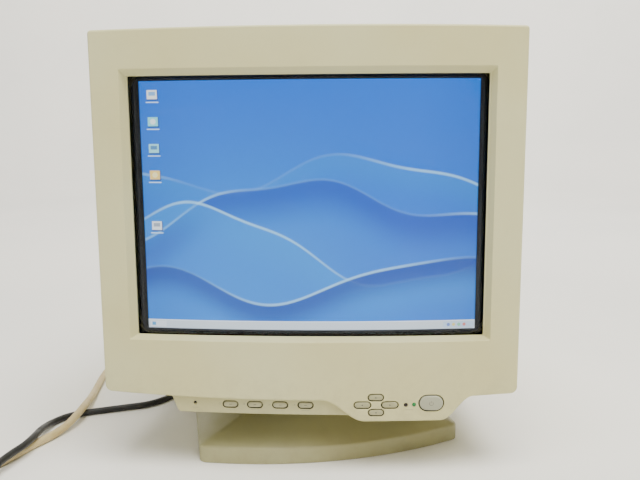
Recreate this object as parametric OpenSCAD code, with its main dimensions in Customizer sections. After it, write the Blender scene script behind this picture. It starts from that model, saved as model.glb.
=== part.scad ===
// Seventeen-inch cathode-ray-tube computer monitor on a tilting and swivelling stand.
// Millimetres. X runs to the viewer's right, Y away from the viewer, Z up.
// The origin is on the swivel axis, on the surface that the stand rests on.

/* [Cabinet] */
// Width of the cabinet's front
head_w = 406; // [396:1:416]
// Height of the cabinet's upper corners above the table
head_top = 427; // [424:0.5:430]
// Height of the cabinet's lower corners above the table
head_bottom = 79.2; // [78:0.2:80]
// Distance from the swivel axis forward to the middle of the front face
front_reach = 148; // [144:0.5:152]
// Distance from the swivel axis back to the rear face
rear_reach = 280; // [274:1:290]
// Radius of the front face's bow, seen from above
face_r = 1681; // [1500:1:2200]
// Wall thickness of the cabinet's mouldings
wall = 3; // [2.5:0.1:3]

/* [Screen] */
// Width of the window in the bezel
window_w = 337.8; // [330:0.1:340]
// Height of the window in the bezel
window_h = 249.1; // [242:0.1:250]
// Height of the window's middle above the table
window_z = 260.8; // [260:0.1:262]
// Height of the tube's axis above the table
tube_z = 260.2; // [259:0.1:261]
// Depth of the window's lip behind the front face
lip_depth = 8.9; // [8:0.1:10]
// Width of the sloping surround at each side of the window
bevel_side = 5.6; // [4:0.1:8]
// Height of the sloping surround above the window
bevel_top = 5.8; // [4:0.1:8]
// Height of the sloping surround below the window
bevel_bottom = 2.8; // [2:0.1:6]
// Radius of the tube face's bow, seen from above
glass_r = 1400; // [1300:10:1500]

/* [Controls] */
// Travel of the small control buttons
button_travel = 0.8; // [0.5:0.1:0.8]
// Travel of the power button
power_travel = 2; // [1:0.1:2]
// Gap round each button
button_gap = 0.8; // [0.4:0.1:0.8]
// How far the small buttons stand out of the face
button_proud = 0.1; // [0:0.1:0.9]
// How far the power button stands out of the face
power_proud = 1.2; // [1:0.1:2]

/* [Stand] */
// Angle of the stand to the cabinet, seen from above
stand_turn = 13.2; // [0:0.1:20]
// Width of the stand
stand_w = 277; // [260:1:280]
// Distance from the swivel axis to the stand's bowed front edge
stand_front = 123; // [121:1:125]
// Distance from the swivel axis to the stand's bowed rear edge
stand_rear = 117; // [112:1:120]
// Height of the stand's upright edge
stand_edge = 17; // [14:0.5:20]
// Radius of the ball-shaped dome under the cabinet
dome_r = 150; // [150:1:150]
// Height of the tilt axis above the table
tilt_z = 170; // [170:1:170]

/* [Cables] */
// Diameter of the power cord
cord_d = 7.4; // [7:0.1:7.6]
// Diameter of the video cable
cable_d = 8.6; // [8:0.1:8.8]

/* [Hidden] */

cabinet_beige = [0.80, 0.78, 0.67];
stand_beige = [0.76, 0.74, 0.63];
button_grey = [0.70, 0.70, 0.62];
steel = [0.72, 0.73, 0.75];
copper = [0.72, 0.43, 0.22];
board_green = [0.10, 0.32, 0.18];
black = [0.07, 0.07, 0.08];

// Cabinet
face_y = -front_reach;
half_w = head_w / 2;
seam_y = face_y + 52;
seam_gap = 0.4;
bottom_rise = 4.4;
top_crown = 1.5;
top_corner_r = 3;
bottom_corner_r = 6.5;
big_fn = 720;
shell_mid_y = 30;
shell_front = [398, 348];
shell_mid = [380, 334];
shell_rear = [260, 248];
shell_front_z = 251;
shell_mid_z = 243;
shell_rear_z = 228;
window_corner = 1.5;
block_edge = 7;
boss_r = 5.5;
boss_front = -139.8;
lug_r = 6;
skirt_r = 124;
skirt_z = 74;
vent_pitch = 12;
vents = 13;

// Chin with the controls
strip_depth = 4;
strip_left = -136.4;
strip_foot_left = -129.2;
strip_z = 59.6;
pod_z = 53.4;
pod_left = [12, 54];
pod_right = [128, 160];
chin_wall = 2.6;
board_y = -128;
function_x = [-77.3, -53.1, -28.3, -3.4];
function_z = 68.8;
function_size = [13.8, 5.7];
up_at = [64.9, 78];
down_at = [65.1, 62.8];
left_at = [51.9, 70.4];
right_at = [78.5, 70.4];
upright_size = [14, 5.8];
sideways_size = [15.4, 5.8];
power_at = [118.7, 71.8];
power_size = [23, 14.8];
reset_at = [-112.4, 69.6];
reset_d = 2.6;
lamp_d = 3.7;
power_lamp_at = [102, 70.6];
standby_lamp_at = [94, 70.4];
switch_y = board_y - 4.5;

// Tube
glass_y = face_y + lip_depth + 3.1;
panel_size = [360, 272];
panel_corner = 22;
panel_wall = 11;
panel_back = glass_y + 66;
cone_y = 30;
cone_end_y = 100;
cone_r = 50;
neck_r = 14.55;
neck_end_y = 236;
cone_profile = [[0, 50], [15, 45], [30, 37], [45, 27.5], [60, 18], [70, 14.55]];
glass_wall = 3.6;
lug_at = [187, 146];
cabinet_screw_at = [150, 407, 96];

// Main board and what stands on it
tray_z = 104;
board_z = 110;

// Swivel
dish_gap = 0.35;
dish_r = dome_r + 1.2;
dish_wall = 3;
dome_wall = 4;
rim_r = 82;
rim_z = 43;
stem_r = 10.3;
stem_bore_r = 10.35;
slot_half = 10.9;
slot_front = -24;
slot_back = 49.5;

// Stand
stand_corner_r = 9;
stand_bow = 23;
stand_wall = 2.5;

// Rear connections
inlet_at = [-40, 146];
gland_at = [-105, 160];
plug_end = 342;
gland_end = 318;

// Routes of the power cord and the video cable over the table, from the cabinet to the coils
cord_route = [[-40, 342, 146], [-40, 352, 146], [-40, 363, 144.5], [-42, 382, 138],
    [-45, 396, 122], [-49, 404, 100],
    [-54, 407, 76], [-60, 406, 52], [-68, 400, 30], [-80, 388, 13], [-96, 371, 5], [-112, 352, 4],
    [-127, 330, 4], [-140, 307, 4], [-151, 283, 4], [-160, 258, 4], [-167, 232, 4], [-172, 206, 4],
    [-175, 180, 4], [-176, 154, 4], [-176, 128, 4], [-176, 104, 4], [-177, 80, 4], [-181, 58, 4],
    [-190, 38, 4], [-205, 22, 4], [-229, 11, 4], [-254, 1, 4], [-275, -8, 4], [-291, -20, 4],
    [-300, -38, 4.6], [-301, -57, 7.5], [-298, -78, 11.8], [-296, -98, 13.6], [-297, -118, 13.6],
    [-301, -136, 13.4], [-305, -154, 12.6], [-308, -173, 10.4], [-308.5, -194, 7.6],
    [-307, -217, 5.8], [-305.3, -238, 5.6]];
cord_tail = [[-350, -283.9, 11.4], [-363, -283, 11.5], [-377, -280, 11.2], [-390, -279, 11]];
cable_route = [[-105, 318, 160], [-105, 329, 160], [-106, 342, 158], [-109, 358, 152],
    [-114, 370, 137],
    [-120, 376, 115], [-127, 378, 91], [-136, 376, 67], [-147, 371, 44], [-161, 362, 23],
    [-179, 350, 9], [-200, 336, 5], [-221, 319, 5], [-240, 299, 5], [-256, 277, 5],
    [-269, 253, 5], [-279, 227, 5], [-287, 200, 5], [-293, 172, 5], [-295, 144, 5],
    [-292.5, 113, 5], [-288.5, 84, 5], [-284.5, 58, 5.4], [-280, 32, 7.6], [-275.5, 7, 11.4],
    [-273, -14, 13.3], [-273.5, -33, 11.8], [-277.5, -50, 7.8], [-283.5, -66, 5.3],
    [-290, -82, 4.7], [-297, -97, 4.5], [-303, -113, 4.5], [-309, -130, 4.5], [-317, -147, 4.5],
    [-330, -161, 4.5], [-348, -171, 4.8], [-373, -176.5, 5.2], [-402, -177.3, 5.7]];
cable_tail = [[-451.9, -128, 12.8], [-450.8, -114, 12], [-447.5, -101, 9.8], [-446, -88, 8.6]];
cord_coil_at = [-350, -238];
cord_coil_r = 41;
cable_coil_at = [-402, -128];
cable_coil_r = 46;
coil_lift = 1.3;
mains_plug_at = [-390, -279];
video_plug_at = [-446, -88];

// ---- Shared shapes ----

// Height of the cabinet's lower edge and upper edge at a distance x from the middle
function lower_edge(x) = head_bottom - bottom_rise * (1 - pow(x / half_w, 2));
function upper_edge(x) = head_top + top_crown * (1 - pow(x / half_w, 2));

// Depth of the bowed face at x, moved back by depth
function face_at(x, depth = 0) = face_y + face_r - sqrt(pow(face_r - depth, 2) - x * x);

// Points of an arc round c from angle a to angle b
function arc(c, r, a, b, n = 4) =
    [for (k = [0:n]) c + r * [cos(a + (b - a) * k / n), sin(a + (b - a) * k / n)]];

// A smooth step from p to q, level at both ends
function s_curve(p, q, n = 9) =
    [for (k = [0:n]) [p[0] + (q[0] - p[0]) * k / n, p[1] + (q[1] - p[1]) * (1 - cos(180 * k / n)) / 2]];

// Outline of the cabinet seen from the front, moved in by i
function head_outline(i = 0, steps = 12) =
    let (w = half_w - i, r0 = max(bottom_corner_r - i, 1), r1 = max(top_corner_r - i, 1))
    let (bw = w - r0, tw = w - r1)
    concat(
        [for (k = [0:steps]) let (x = bw * (2 * k / steps - 1)) [x, lower_edge(x) + i]],
        arc([bw, lower_edge(bw) + i + r0], r0, -75, 0),
        arc([tw, upper_edge(tw) - i - r1], r1, 0, 85),
        [for (k = [0:steps]) let (x = tw * (1 - 2 * k / steps)) [x, upper_edge(x) - i]],
        arc([-tw, upper_edge(tw) - i - r1], r1, 95, 180),
        arc([-bw, lower_edge(bw) + i + r0], r0, 180, 255));

// Outline of the recessed strip below the cabinet's edge, moved in by i and closed at height top
function strip_outline(i, top) =
    [[strip_foot_left + i, strip_z + i], [60, strip_z - 1 + i], [60, top],
     [strip_left + i - (top - 77) * 0.42, top]];

// Outline of the pod that carries the arrow and power buttons
function pod_outline(i, top) =
    concat(
        s_curve([pod_left[0] + i, lower_edge(0) + i], [pod_left[1] + i / 2, pod_z + i]),
        s_curve([pod_right[0] - i / 2, pod_z + 0.2 + i], [pod_right[1] - i, lower_edge(160) + i]),
        [[pod_right[1] - i, top], [pod_left[0] + i, top]]);

// Rounded rectangle round the origin
function rounded(size, r, n = 6) =
    let (x = size[0] / 2 - r, y = size[1] / 2 - r)
    concat(arc([x, y], r, 0, 90, n), arc([-x, y], r, 90, 180, n),
        arc([-x, -y], r, 180, 270, n), arc([x, -y], r, 270, 360, n));

// A plate standing across Y from y0 to y1, drawn as seen from the front
module upright(y0, y1) {
    translate([0, y1, 0])
        rotate([90, 0, 0])
            linear_extrude(y1 - y0)
                children();
}

// A shape turned round the tube's axis; its own z becomes y
module on_tube_axis(y = 0) {
    translate([0, y, tube_z])
        rotate([-90, 0, 0])
            children();
}

// Everything behind a bowed face whose middle is at y
module behind(y, r) {
    translate([0, y + r, -20])
        cylinder(h = 520, r = r, $fn = big_fn);
}

// Bowed sheet between two depths behind the tube's face
module glass_layer(front, back, size, corner) {
    intersection() {
        upright(glass_y - 5, panel_back)
            translate([0, tube_z])
                polygon(rounded(size, corner));
        difference() {
            behind(glass_y + front, glass_r - front);
            behind(glass_y + back, glass_r - back);
        }
    }
}

// Solid with round ends, long in X, pointing along +Y from y0 to y1
module oblong(size, y0, y1) {
    r = size[1] / 2;
    upright(y0, y1)
        square([size[0] - 2 * r, size[1]], center = true);
    for (side = [-1, 1])
        translate([side * (size[0] / 2 - r), y0, 0])
            rotate([-90, 0, 0])
                cylinder(h = y1 - y0, r = r, $fn = 40);
}

// Rod along +Y
module rod(r, y0, y1) {
    translate([0, y0, 0])
        rotate([-90, 0, 0])
            cylinder(h = y1 - y0, r = r, $fn = 32);
}

// Shallow ball shell between two radii round the tilt axis
module ball_shell(outer_r, inner_r) {
    translate([0, 0, tilt_z])
        difference() {
            sphere(r = outer_r, $fn = 128);
            sphere(r = inner_r, $fn = 128);
        }
}

// Unit direction from p to q, and rings of a tube swept along a list of points
function unit(v) = v / norm(v);
function along(p, k) = unit(p[min(k + 1, len(p) - 1)] - p[max(k - 1, 0)]);
function sideways(p, k) =
    let (t = along(p, k))
    let (last = k == 0 ? unit(cross(t, abs(t[2]) > 0.9 ? [1, 0, 0] : [0, 0, 1])) : sideways(p, k - 1))
    unit(last - (last * t) * t);
function ring(p, k, r, sides) =
    let (t = along(p, k), u = sideways(p, k), w = cross(t, u))
    [for (j = [0:sides - 1]) p[k] + r * (cos(360 * j / sides) * u + sin(360 * j / sides) * w)];

module tube(p, d, sides = 8) {
    n = len(p);
    points = [for (k = [0:n - 1]) each ring(p, k, d / 2, sides)];
    walls = [for (k = [0:n - 2], j = [0:sides - 1])
        let (a = k * sides, b = a + sides, next = (j + 1) % sides)
        [a + j, b + j, b + next, a + next]];
    start = [for (j = [0:sides - 1]) j];
    end = [for (j = [sides - 1:-1:0]) (n - 1) * sides + j];
    polyhedron(points, concat([start], walls, [end]), convexity = 10);
}

// ---- Cabinet ----

// The wedge that the chin is cut to, so that its underside rises to the rear
module chin_wedge(i) {
    translate([-180, 0, 0])
        rotate([90, 0, 90])
            linear_extrude(360)
                polygon([[face_y - 5, 40 + i], [face_y + 20, 40 + i], [face_y + 24, 50 + i],
                    [seam_y - 3, 77 + i], [seam_y - 3, 96], [face_y - 5, 96]]);
}

module chin_solid() {
    intersection() {
        upright(face_y - 5, seam_y - 3)
            polygon(strip_outline(0, 82));
        behind(face_y + strip_depth, face_r - strip_depth);
        chin_wedge(0);
    }
    intersection() {
        upright(face_y - 5, seam_y - 3)
            polygon(pod_outline(0, 82));
        behind(face_y, face_r);
        chin_wedge(0);
    }
}

module chin_hollow() {
    intersection() {
        upright(face_y, seam_y - 5)
            polygon(strip_outline(chin_wall, 90));
        behind(face_y + strip_depth + chin_wall, face_r - strip_depth - chin_wall);
        chin_wedge(chin_wall);
    }
    intersection() {
        upright(face_y, seam_y - 5)
            polygon(pod_outline(chin_wall, 90));
        behind(face_y + strip_depth + chin_wall, face_r - strip_depth - chin_wall);
        chin_wedge(chin_wall);
    }
}

// The sloping surround: a body whose cross-section narrows from the face to the lip
module window_bevel() {
    steps = 12;
    iw = window_w / 2;
    ow = iw + bevel_side;
    low = window_z - window_h / 2;
    high = window_z + window_h / 2;
    stations = concat(
        [[-ow, low - bevel_bottom, high + bevel_top, 0.5]],
        [for (k = [0:steps]) [iw * (2 * k / steps - 1), low, high, lip_depth + 0.5]],
        [[ow, low - bevel_bottom, high + bevel_top, 0.5]]);
    last = len(stations) - 1;
    points = [for (s = stations)
        let (y = face_at(s[0]) - 0.5)
        each [[s[0], y, low - bevel_bottom], [s[0], y, high + bevel_top],
            [s[0], y + s[3], s[2]], [s[0], y + s[3], s[1]]]];
    walls = [for (k = [0:last - 1], j = [0:3])
        let (a = 4 * k, b = a + 4, next = (j + 1) % 4)
        [a + j, a + next, b + next, b + j]];
    triangles = [for (w = walls) each [[w[0], w[1], w[2]], [w[0], w[2], w[3]]]];
    ends = [[2, 1, 0], [3, 2, 0], [4 * last, 4 * last + 1, 4 * last + 2],
        [4 * last, 4 * last + 2, 4 * last + 3]];
    polyhedron(points, concat(triangles, ends), convexity = 10);
}

module button_openings() {
    g = 2 * button_gap;
    for (x = function_x)
        translate([x, 0, function_z])
            oblong(function_size + [g, g], face_y - 5, board_y - 8);
    for (at = [up_at, down_at])
        translate([at[0], 0, at[1]])
            oblong(upright_size + [g, g], face_y - 5, board_y - 8);
    for (at = [left_at, right_at])
        translate([at[0], 0, at[1]])
            oblong(sideways_size + [g, g], face_y - 5, board_y - 8);
    translate([power_at[0], 0, power_at[1]])
        oblong(power_size + [g, g], face_y - 5, board_y - 8);
    translate([reset_at[0], 0, reset_at[1]])
        rod(reset_d / 2 + 0.4, face_y - 5, board_y - 8);
    for (at = [power_lamp_at, standby_lamp_at])
        translate([at[0], 0, at[1]])
            rod(lamp_d / 2 + 0.15, face_y - 5, board_y - 8);
}

module front_bezel() {
    color(cabinet_beige) {
        difference() {
            union() {
                intersection() {
                    upright(face_y - 5, seam_y)
                        polygon(head_outline());
                    behind(face_y, face_r);
                }
                chin_solid();
            }
            difference() {
                intersection() {
                    upright(face_y, seam_y + 1)
                        polygon(head_outline(wall));
                    behind(face_y + wall, face_r - wall);
                }
                difference() {
                    upright(face_y, seam_y - 10)
                        translate([0, window_z + (bevel_top - bevel_bottom) / 2])
                            square([window_w + 2 * bevel_side + block_edge,
                                window_h + bevel_top + bevel_bottom + block_edge], center = true);
                    behind(face_y + lip_depth + 2.5, face_r - lip_depth - 2.5);
                }
            }
            chin_hollow();
            window_bevel();
            upright(face_y - 5, seam_y - 8)
                translate([0, window_z])
                    polygon(rounded([window_w, window_h], window_corner, 4));
            button_openings();
        }
        for (sx = [-1, 1], sz = [-1, 1])
            translate([sx * lug_at[0], 0, tube_z + sz * lug_at[1]])
                difference() {
                    rod(lug_r, -136, -113);
                    rod(2.5, -130, -112);
                }
        for (sx = [-1, 1], z = [cabinet_screw_at[1], cabinet_screw_at[2]])
            translate([sx * cabinet_screw_at[0], 0, z])
                difference() {
                    rod(boss_r, boss_front, seam_y);
                    rod(2, -112, seam_y + 1);
                }
    }
}

// Everything behind the seam between the bezel and the rear cover
module behind_seam(depth = 500) {
    translate([-200, seam_y + seam_gap, 0])
        cube([400, depth, 500]);
}

// A slice of the rear cover, for blending one section into the next
module cover_slice(size, z, y, corner, i) {
    upright(y, y + 0.5)
        translate([0, z])
            polygon(rounded([size[0] - 2 * i, size[1] - 2 * i], max(corner - i, 2), 5));
}

module cover_volume(i, front, rear) {
    hull() {
        cover_slice(shell_front, shell_front_z, front, 8, i);
        cover_slice(shell_mid, shell_mid_z, shell_mid_y, 16, i);
    }
    hull() {
        cover_slice(shell_mid, shell_mid_z, shell_mid_y, 16, i);
        cover_slice(shell_rear, shell_rear_z, rear, 26, i);
    }
}

module vent_slots() {
    for (k = [0:vents - 1], side = [-1, 1])
        translate([side * 48 - 36, 60 + k * vent_pitch, 300])
            cube([72, 5, 150]);
}

module rear_cover() {
    color(cabinet_beige)
        difference() {
            union() {
                cover_volume(0, seam_y + seam_gap, rear_reach - 0.5);
                intersection() {
                    translate([0, 0, skirt_z])
                        cylinder(h = 30, r = skirt_r, $fn = 96);
                    behind_seam();
                }
            }
            difference() {
                cover_volume(wall, seam_y - 2, rear_reach - 0.5 - wall);
                for (sx = [-1, 1], z = [cabinet_screw_at[1], cabinet_screw_at[2]])
                    translate([sx * cabinet_screw_at[0], 0, z])
                        difference() {
                            rod(7.5, seam_y + seam_gap, 170);
                            rod(6, seam_y + 12, 171);
                        }
            }
            translate([0, 0, skirt_z + wall])
                cylinder(h = 22, r = skirt_r - wall, $fn = 96);
            translate([0, 0, skirt_z - 1])
                cylinder(h = 10, r = 108, $fn = 96);
            for (sx = [-1, 1], z = [cabinet_screw_at[1], cabinet_screw_at[2]])
                translate([sx * cabinet_screw_at[0], 0, z]) {
                    rod(2.2, seam_y - 1, 0);
                    rod(6, seam_y + 12, 171);
                }
            vent_slots();
            upright(rear_reach - 10, rear_reach + 1)
                translate(inlet_at)
                    square([31, 23], center = true);
            translate([gland_at[0], 0, gland_at[1]])
                rod(7.2, rear_reach - 10, rear_reach + 1);
        }
}

module tilt_dome() {
    color(stand_beige)
        difference() {
            union() {
                intersection() {
                    ball_shell(dome_r, dome_r - dome_wall);
                    cylinder(h = skirt_z, r = 130, $fn = 96);
                    behind_seam();
                }
                intersection() {
                    translate([0, 0, tilt_z])
                        sphere(r = dome_r, $fn = 128);
                    cylinder(h = skirt_z, r = 130, $fn = 96);
                    behind_seam(dome_wall);
                }
                intersection() {
                    translate([0, 0, skirt_z - 3])
                        difference() {
                            cylinder(h = 3, r = 121, $fn = 96);
                            translate([0, 0, -1])
                                cylinder(h = 5, r = 112, $fn = 96);
                        }
                    behind_seam();
                }
            }
            translate([-slot_half, slot_front + slot_half, 10])
                cube([2 * slot_half, slot_back - slot_front - 2 * slot_half, 30]);
            for (y = [slot_front + slot_half, slot_back - slot_half])
                translate([0, y, 10])
                    cylinder(h = 30, r = slot_half, $fn = 48);
        }
}

module cabinet_screws() {
    color(steel)
        for (sx = [-1, 1], z = [cabinet_screw_at[1], cabinet_screw_at[2]])
            translate([sx * cabinet_screw_at[0], 0, z]) {
                rod(1.9, seam_y - 12, seam_y + 12.5);
                rod(4, seam_y + 12, seam_y + 15);
            }
}

// ---- Picture tube ----

module crt_panel() {
    color([0.20, 0.24, 0.24, 0.6])
        difference() {
            glass_layer(0, 300, panel_size, panel_corner);
            glass_layer(panel_wall, 320, panel_size - [22, 22], panel_corner - 8);
        }
}

module funnel_front(i) {
    hull() {
        upright(panel_back, panel_back + 0.5)
            translate([0, tube_z])
                polygon(rounded(panel_size - [4 + 2 * i, 4 + 2 * i], panel_corner - i));
        on_tube_axis(cone_y)
            cylinder(h = 0.5, r = cone_r - i, $fn = 48);
    }
}

module crt_funnel() {
    color([0.16, 0.17, 0.18]) {
        difference() {
            funnel_front(0);
            funnel_front(glass_wall);
            upright(panel_back - 1, panel_back + 1)
                translate([0, tube_z])
                    polygon(rounded(panel_size - [12, 12], panel_corner - glass_wall));
            on_tube_axis(cone_y - 2)
                cylinder(h = 4, r = cone_r - glass_wall, $fn = 48);
        }
        on_tube_axis(cone_y + 0.5)
            rotate_extrude($fn = 64)
                polygon(concat(
                    [for (q = cone_profile) [q[1], q[0] * 69.5 / 70]],
                    [for (k = [len(cone_profile) - 1:-1:0])
                        [cone_profile[k][1] - 2.2, cone_profile[k][0] * 69.5 / 70]]));
    }
}

module crt_neck() {
    color([0.62, 0.66, 0.68])
        on_tube_axis(cone_end_y)
            difference() {
                cylinder(h = neck_end_y - cone_end_y, r = neck_r, $fn = 64);
                translate([0, 0, -1])
                    cylinder(h = neck_end_y - cone_end_y - 1, r = neck_r - 2.2, $fn = 64);
            }
}

module phosphor_screen() {
    color([0.25, 0.45, 0.85])
        glass_layer(panel_wall + 0.2, panel_wall + 0.6, [334, 246], 12);
}

module aperture_grille() {
    color(steel)
        difference() {
            glass_layer(panel_wall + 8, panel_wall + 8.4, [326, 238], 8);
            for (x = [-154:14:140])
                translate([x + 1, -150, tube_z - 112])
                    cube([12, 80, 224]);
        }
}

module grille_frame() {
    color([0.30, 0.31, 0.33])
        difference() {
            intersection() {
                upright(glass_y, glass_y + 48)
                    translate([0, tube_z])
                        polygon(rounded([326, 238], 8));
                behind(glass_y + panel_wall + 8.6, glass_r - panel_wall - 8.6);
            }
            upright(glass_y, glass_y + 50)
                translate([0, tube_z])
                    square([300, 212], center = true);
        }
}

module rim_band() {
    color(steel)
        difference() {
            union() {
                upright(-118, -98)
                    translate([0, tube_z])
                        polygon(rounded(panel_size + [5, 5], panel_corner + 2.5));
                for (sx = [-1, 1], sz = [-1, 1])
                    translate([sx * (lug_at[0] - 3), -111.6, tube_z + sz * (lug_at[1] - 5)])
                        cube([22, 2.4, 22], center = true);
            }
            upright(-119, -97)
                translate([0, tube_z])
                    polygon(rounded(panel_size + [0.6, 0.6], panel_corner + 0.3));
            for (sx = [-1, 1], sz = [-1, 1])
                translate([sx * lug_at[0], 0, tube_z + sz * lug_at[1]])
                    rod(3.2, -114, -109);
        }
}

module tube_screws() {
    color(steel)
        for (sx = [-1, 1], sz = [-1, 1])
            translate([sx * lug_at[0], 0, tube_z + sz * lug_at[1]]) {
                rod(2.4, -128, -110.2);
                translate([0, -110.4, 0])
                    rotate([-90, 0, 0])
                        cylinder(h = 4.5, r = 5.5, $fn = 6);
            }
}

module electron_gun() {
    color(steel) {
        for (y = [124, 140, 158, 172, 188, 204, 218])
            on_tube_axis(y)
                cylinder(h = 7, r = 10, $fn = 40);
        on_tube_axis(126)
            cylinder(h = 98, r = 4, $fn = 32);
    }
}

module deflection_yoke() {
    color(copper)
        on_tube_axis(cone_y)
            rotate_extrude($fn = 72)
                polygon([[47.5, 14], [64, 14], [64, 19], [55, 21], [51, 45], [44, 62], [44, 68],
                    [38, 70], [38, 74], [16.5, 74], [19, 62], [28.5, 47], [38, 32], [45, 19]]);
}

module convergence_rings() {
    color([0.25, 0.25, 0.28])
        on_tube_axis(112)
            difference() {
                union() {
                    cylinder(h = 36, r = 18, $fn = 64);
                    for (k = [0:5])
                        translate([0, 0, 4 + 5 * k])
                            cylinder(h = 3, r = k % 2 == 0 ? 27 : 25, $fn = 64);
                }
                translate([0, 0, -1])
                    cylinder(h = 40, r = neck_r + 0.3, $fn = 64);
            }
}

module crt_socket() {
    color([0.85, 0.82, 0.72])
        on_tube_axis(neck_end_y + 0.5)
            difference() {
                cylinder(h = 11.5, r = 17, $fn = 64);
                translate([0, 0, -1])
                    cylinder(h = 13.5, r = 4, $fn = 32);
            }
}

module neck_board() {
    color(board_green)
        upright(neck_end_y + 12.2, neck_end_y + 13.8)
            translate([0, tube_z])
                difference() {
                    square([104, 96], center = true);
                    circle(r = 5, $fn = 32);
                }
}

module anode_cap() {
    color(black)
        translate([0, -24, 356])
            rotate([-40, 0, 0])
                translate([0, 0, 0.8])
                    cylinder(h = 6, r1 = 15, r2 = 8, $fn = 48);
}

module anode_lead() {
    color([0.55, 0.12, 0.10])
        tube([[0, -17, 366], [24, -4, 372], [62, 12, 366], [100, 34, 344], [124, 56, 306],
            [132, 74, 262], [128, 88, 218], [116, 98, 184], [100, 104, 168]], 5);
}

module degauss_coil() {
    color(black)
        translate([0, -45, tube_z])
            rotate([-90, 0, 0]) {
                for (sx = [-1, 1], sy = [-1, 1])
                    translate([sx * 142, sy * 97, 0])
                        rotate([0, 0, sx > 0 ? (sy > 0 ? 0 : 270) : (sy > 0 ? 90 : 180)])
                            rotate_extrude(angle = 90, $fn = 64)
                                translate([28, 0])
                                    circle(r = 4, $fn = 24);
                for (sx = [-1, 1])
                    translate([sx * 170, 97, 0])
                        rotate([90, 0, 0])
                            cylinder(h = 194, r = 4, $fn = 24);
                for (sy = [-1, 1])
                    translate([-142, sy * 125, 0])
                        rotate([0, 90, 0])
                            cylinder(h = 284, r = 4, $fn = 24);
            }
}

// ---- Circuit boards ----

module chassis_tray() {
    color(steel)
        difference() {
            translate([-136, -58, tray_z])
                cube([272, 258, 16]);
            translate([-134.8, -59, tray_z + 1.2])
                cube([269.6, 260, 20]);
            translate([0, 0, tray_z - 1])
                cylinder(h = 4, r = 60, $fn = 64);
        }
}

module main_board() {
    color(board_green)
        difference() {
            translate([-132, -54, board_z])
                cube([264, 250, 1.6]);
            translate([0, 0, board_z - 1])
                cylinder(h = 4, r = 30, $fn = 64);
        }
}

module flyback_transformer() {
    color(black) {
        translate([100, 104, board_z + 1.6])
            cylinder(h = 54, r = 20, $fn = 64);
        translate([76, 124, board_z + 1.6])
            cube([48, 18, 46]);
    }
}

module power_transformer() {
    color(copper)
        translate([-100, 120, board_z + 1.6])
            cube([46, 42, 38]);
}

module filter_capacitors() {
    color([0.12, 0.16, 0.30])
        for (at = [[-110, 60], [-80, 60], [-110, 92]])
            translate([at[0], at[1], board_z + 1.6])
                cylinder(h = 36, r = 12, $fn = 48);
}

module heatsinks() {
    color([0.75, 0.75, 0.76])
        for (x = [-40, 60]) {
            translate([x, 134, board_z + 1.6])
                cube([3, 60, 44]);
            for (y = [136:8:190])
                translate([x + 3, y, board_z + 1.6])
                    cube([9, 1.6, 44]);
        }
}

module control_board() {
    color(board_green)
        upright(board_y, board_y + 1.6) {
            translate([-122, 63])
                square([175, 12.5]);
            translate([50, 58.5])
                square([76, 25.5]);
        }
}

module switch_body(at) {
    translate([at[0], 0, at[1]]) {
        upright(board_y - 3.4, board_y)
            square(6, center = true);
        rod(1.7, switch_y, board_y - 3);
    }
}

module tact_switches() {
    color(black) {
        for (x = function_x)
            switch_body([x, function_z]);
        for (at = [up_at, down_at, left_at, right_at, power_at, reset_at])
            switch_body(at);
    }
}

module lamp(at) {
    translate([at[0], 0, at[1]])
        rod(lamp_d / 2, face_at(at[0]) - 0.2, board_y);
}

module power_lamp() {
    color([0.20, 0.75, 0.35])
        lamp(power_lamp_at);
}

module standby_lamp() {
    color([0.30, 0.16, 0.10])
        lamp(standby_lamp_at);
}

// ---- Control buttons: a cap, a retaining flange behind the wall and a stem to the switch ----

module cap_button(at, size, depth, wall_t, travel) {
    front = face_at(at[0], depth) - button_proud;
    back = front + 5.8;
    translate([at[0], 0, at[1]]) {
        oblong(size, front, back);
        oblong(size + [3, 2], front + button_proud + wall_t + travel + 0.2, back);
        rod(1.4, back - 0.5, switch_y - travel - 0.2);
    }
}

module function_button(k) {
    color(button_grey)
        cap_button([function_x[k], function_z], function_size, strip_depth, chin_wall, button_travel);
}

module function_button_1() {
    function_button(0);
}

module function_button_2() {
    function_button(1);
}

module function_button_3() {
    function_button(2);
}

module function_button_4() {
    function_button(3);
}

module pod_button(at, size) {
    front = face_at(at[0]) - button_proud;
    back = front + 9;
    color(button_grey)
        translate([at[0], 0, at[1]]) {
            oblong(size, front, back);
            rod(1.4, back - 0.5, switch_y - button_travel - 0.2);
        }
}

module up_button() {
    pod_button(up_at, upright_size);
}

module down_button() {
    pod_button(down_at, upright_size);
}

module left_button() {
    pod_button(left_at, sideways_size);
}

module right_button() {
    pod_button(right_at, sideways_size);
}

module power_button() {
    front = face_at(power_at[0]) - power_proud;
    color([0.62, 0.64, 0.60])
        translate([power_at[0], 0, power_at[1]]) {
            oblong(power_size, front, front + 8);
            rod(2, front + 7, switch_y - power_travel - 0.2);
        }
}

module reset_button() {
    front = face_at(reset_at[0], strip_depth) + 1.2;
    color(black)
        translate([reset_at[0], 0, reset_at[1]])
            rod(reset_d / 2, front, switch_y - button_travel - 0.2);
}

// ---- Rear connections ----

module ac_inlet() {
    color(black)
        difference() {
            union() {
                upright(rear_reach - 25, rear_reach)
                    translate(inlet_at)
                        square([30, 22], center = true);
                upright(rear_reach, rear_reach + 2)
                    translate(inlet_at)
                        square([40, 28], center = true);
            }
            upright(rear_reach - 17, rear_reach + 3)
                translate(inlet_at)
                    square([25.4, 17.4], center = true);
        }
}

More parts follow.
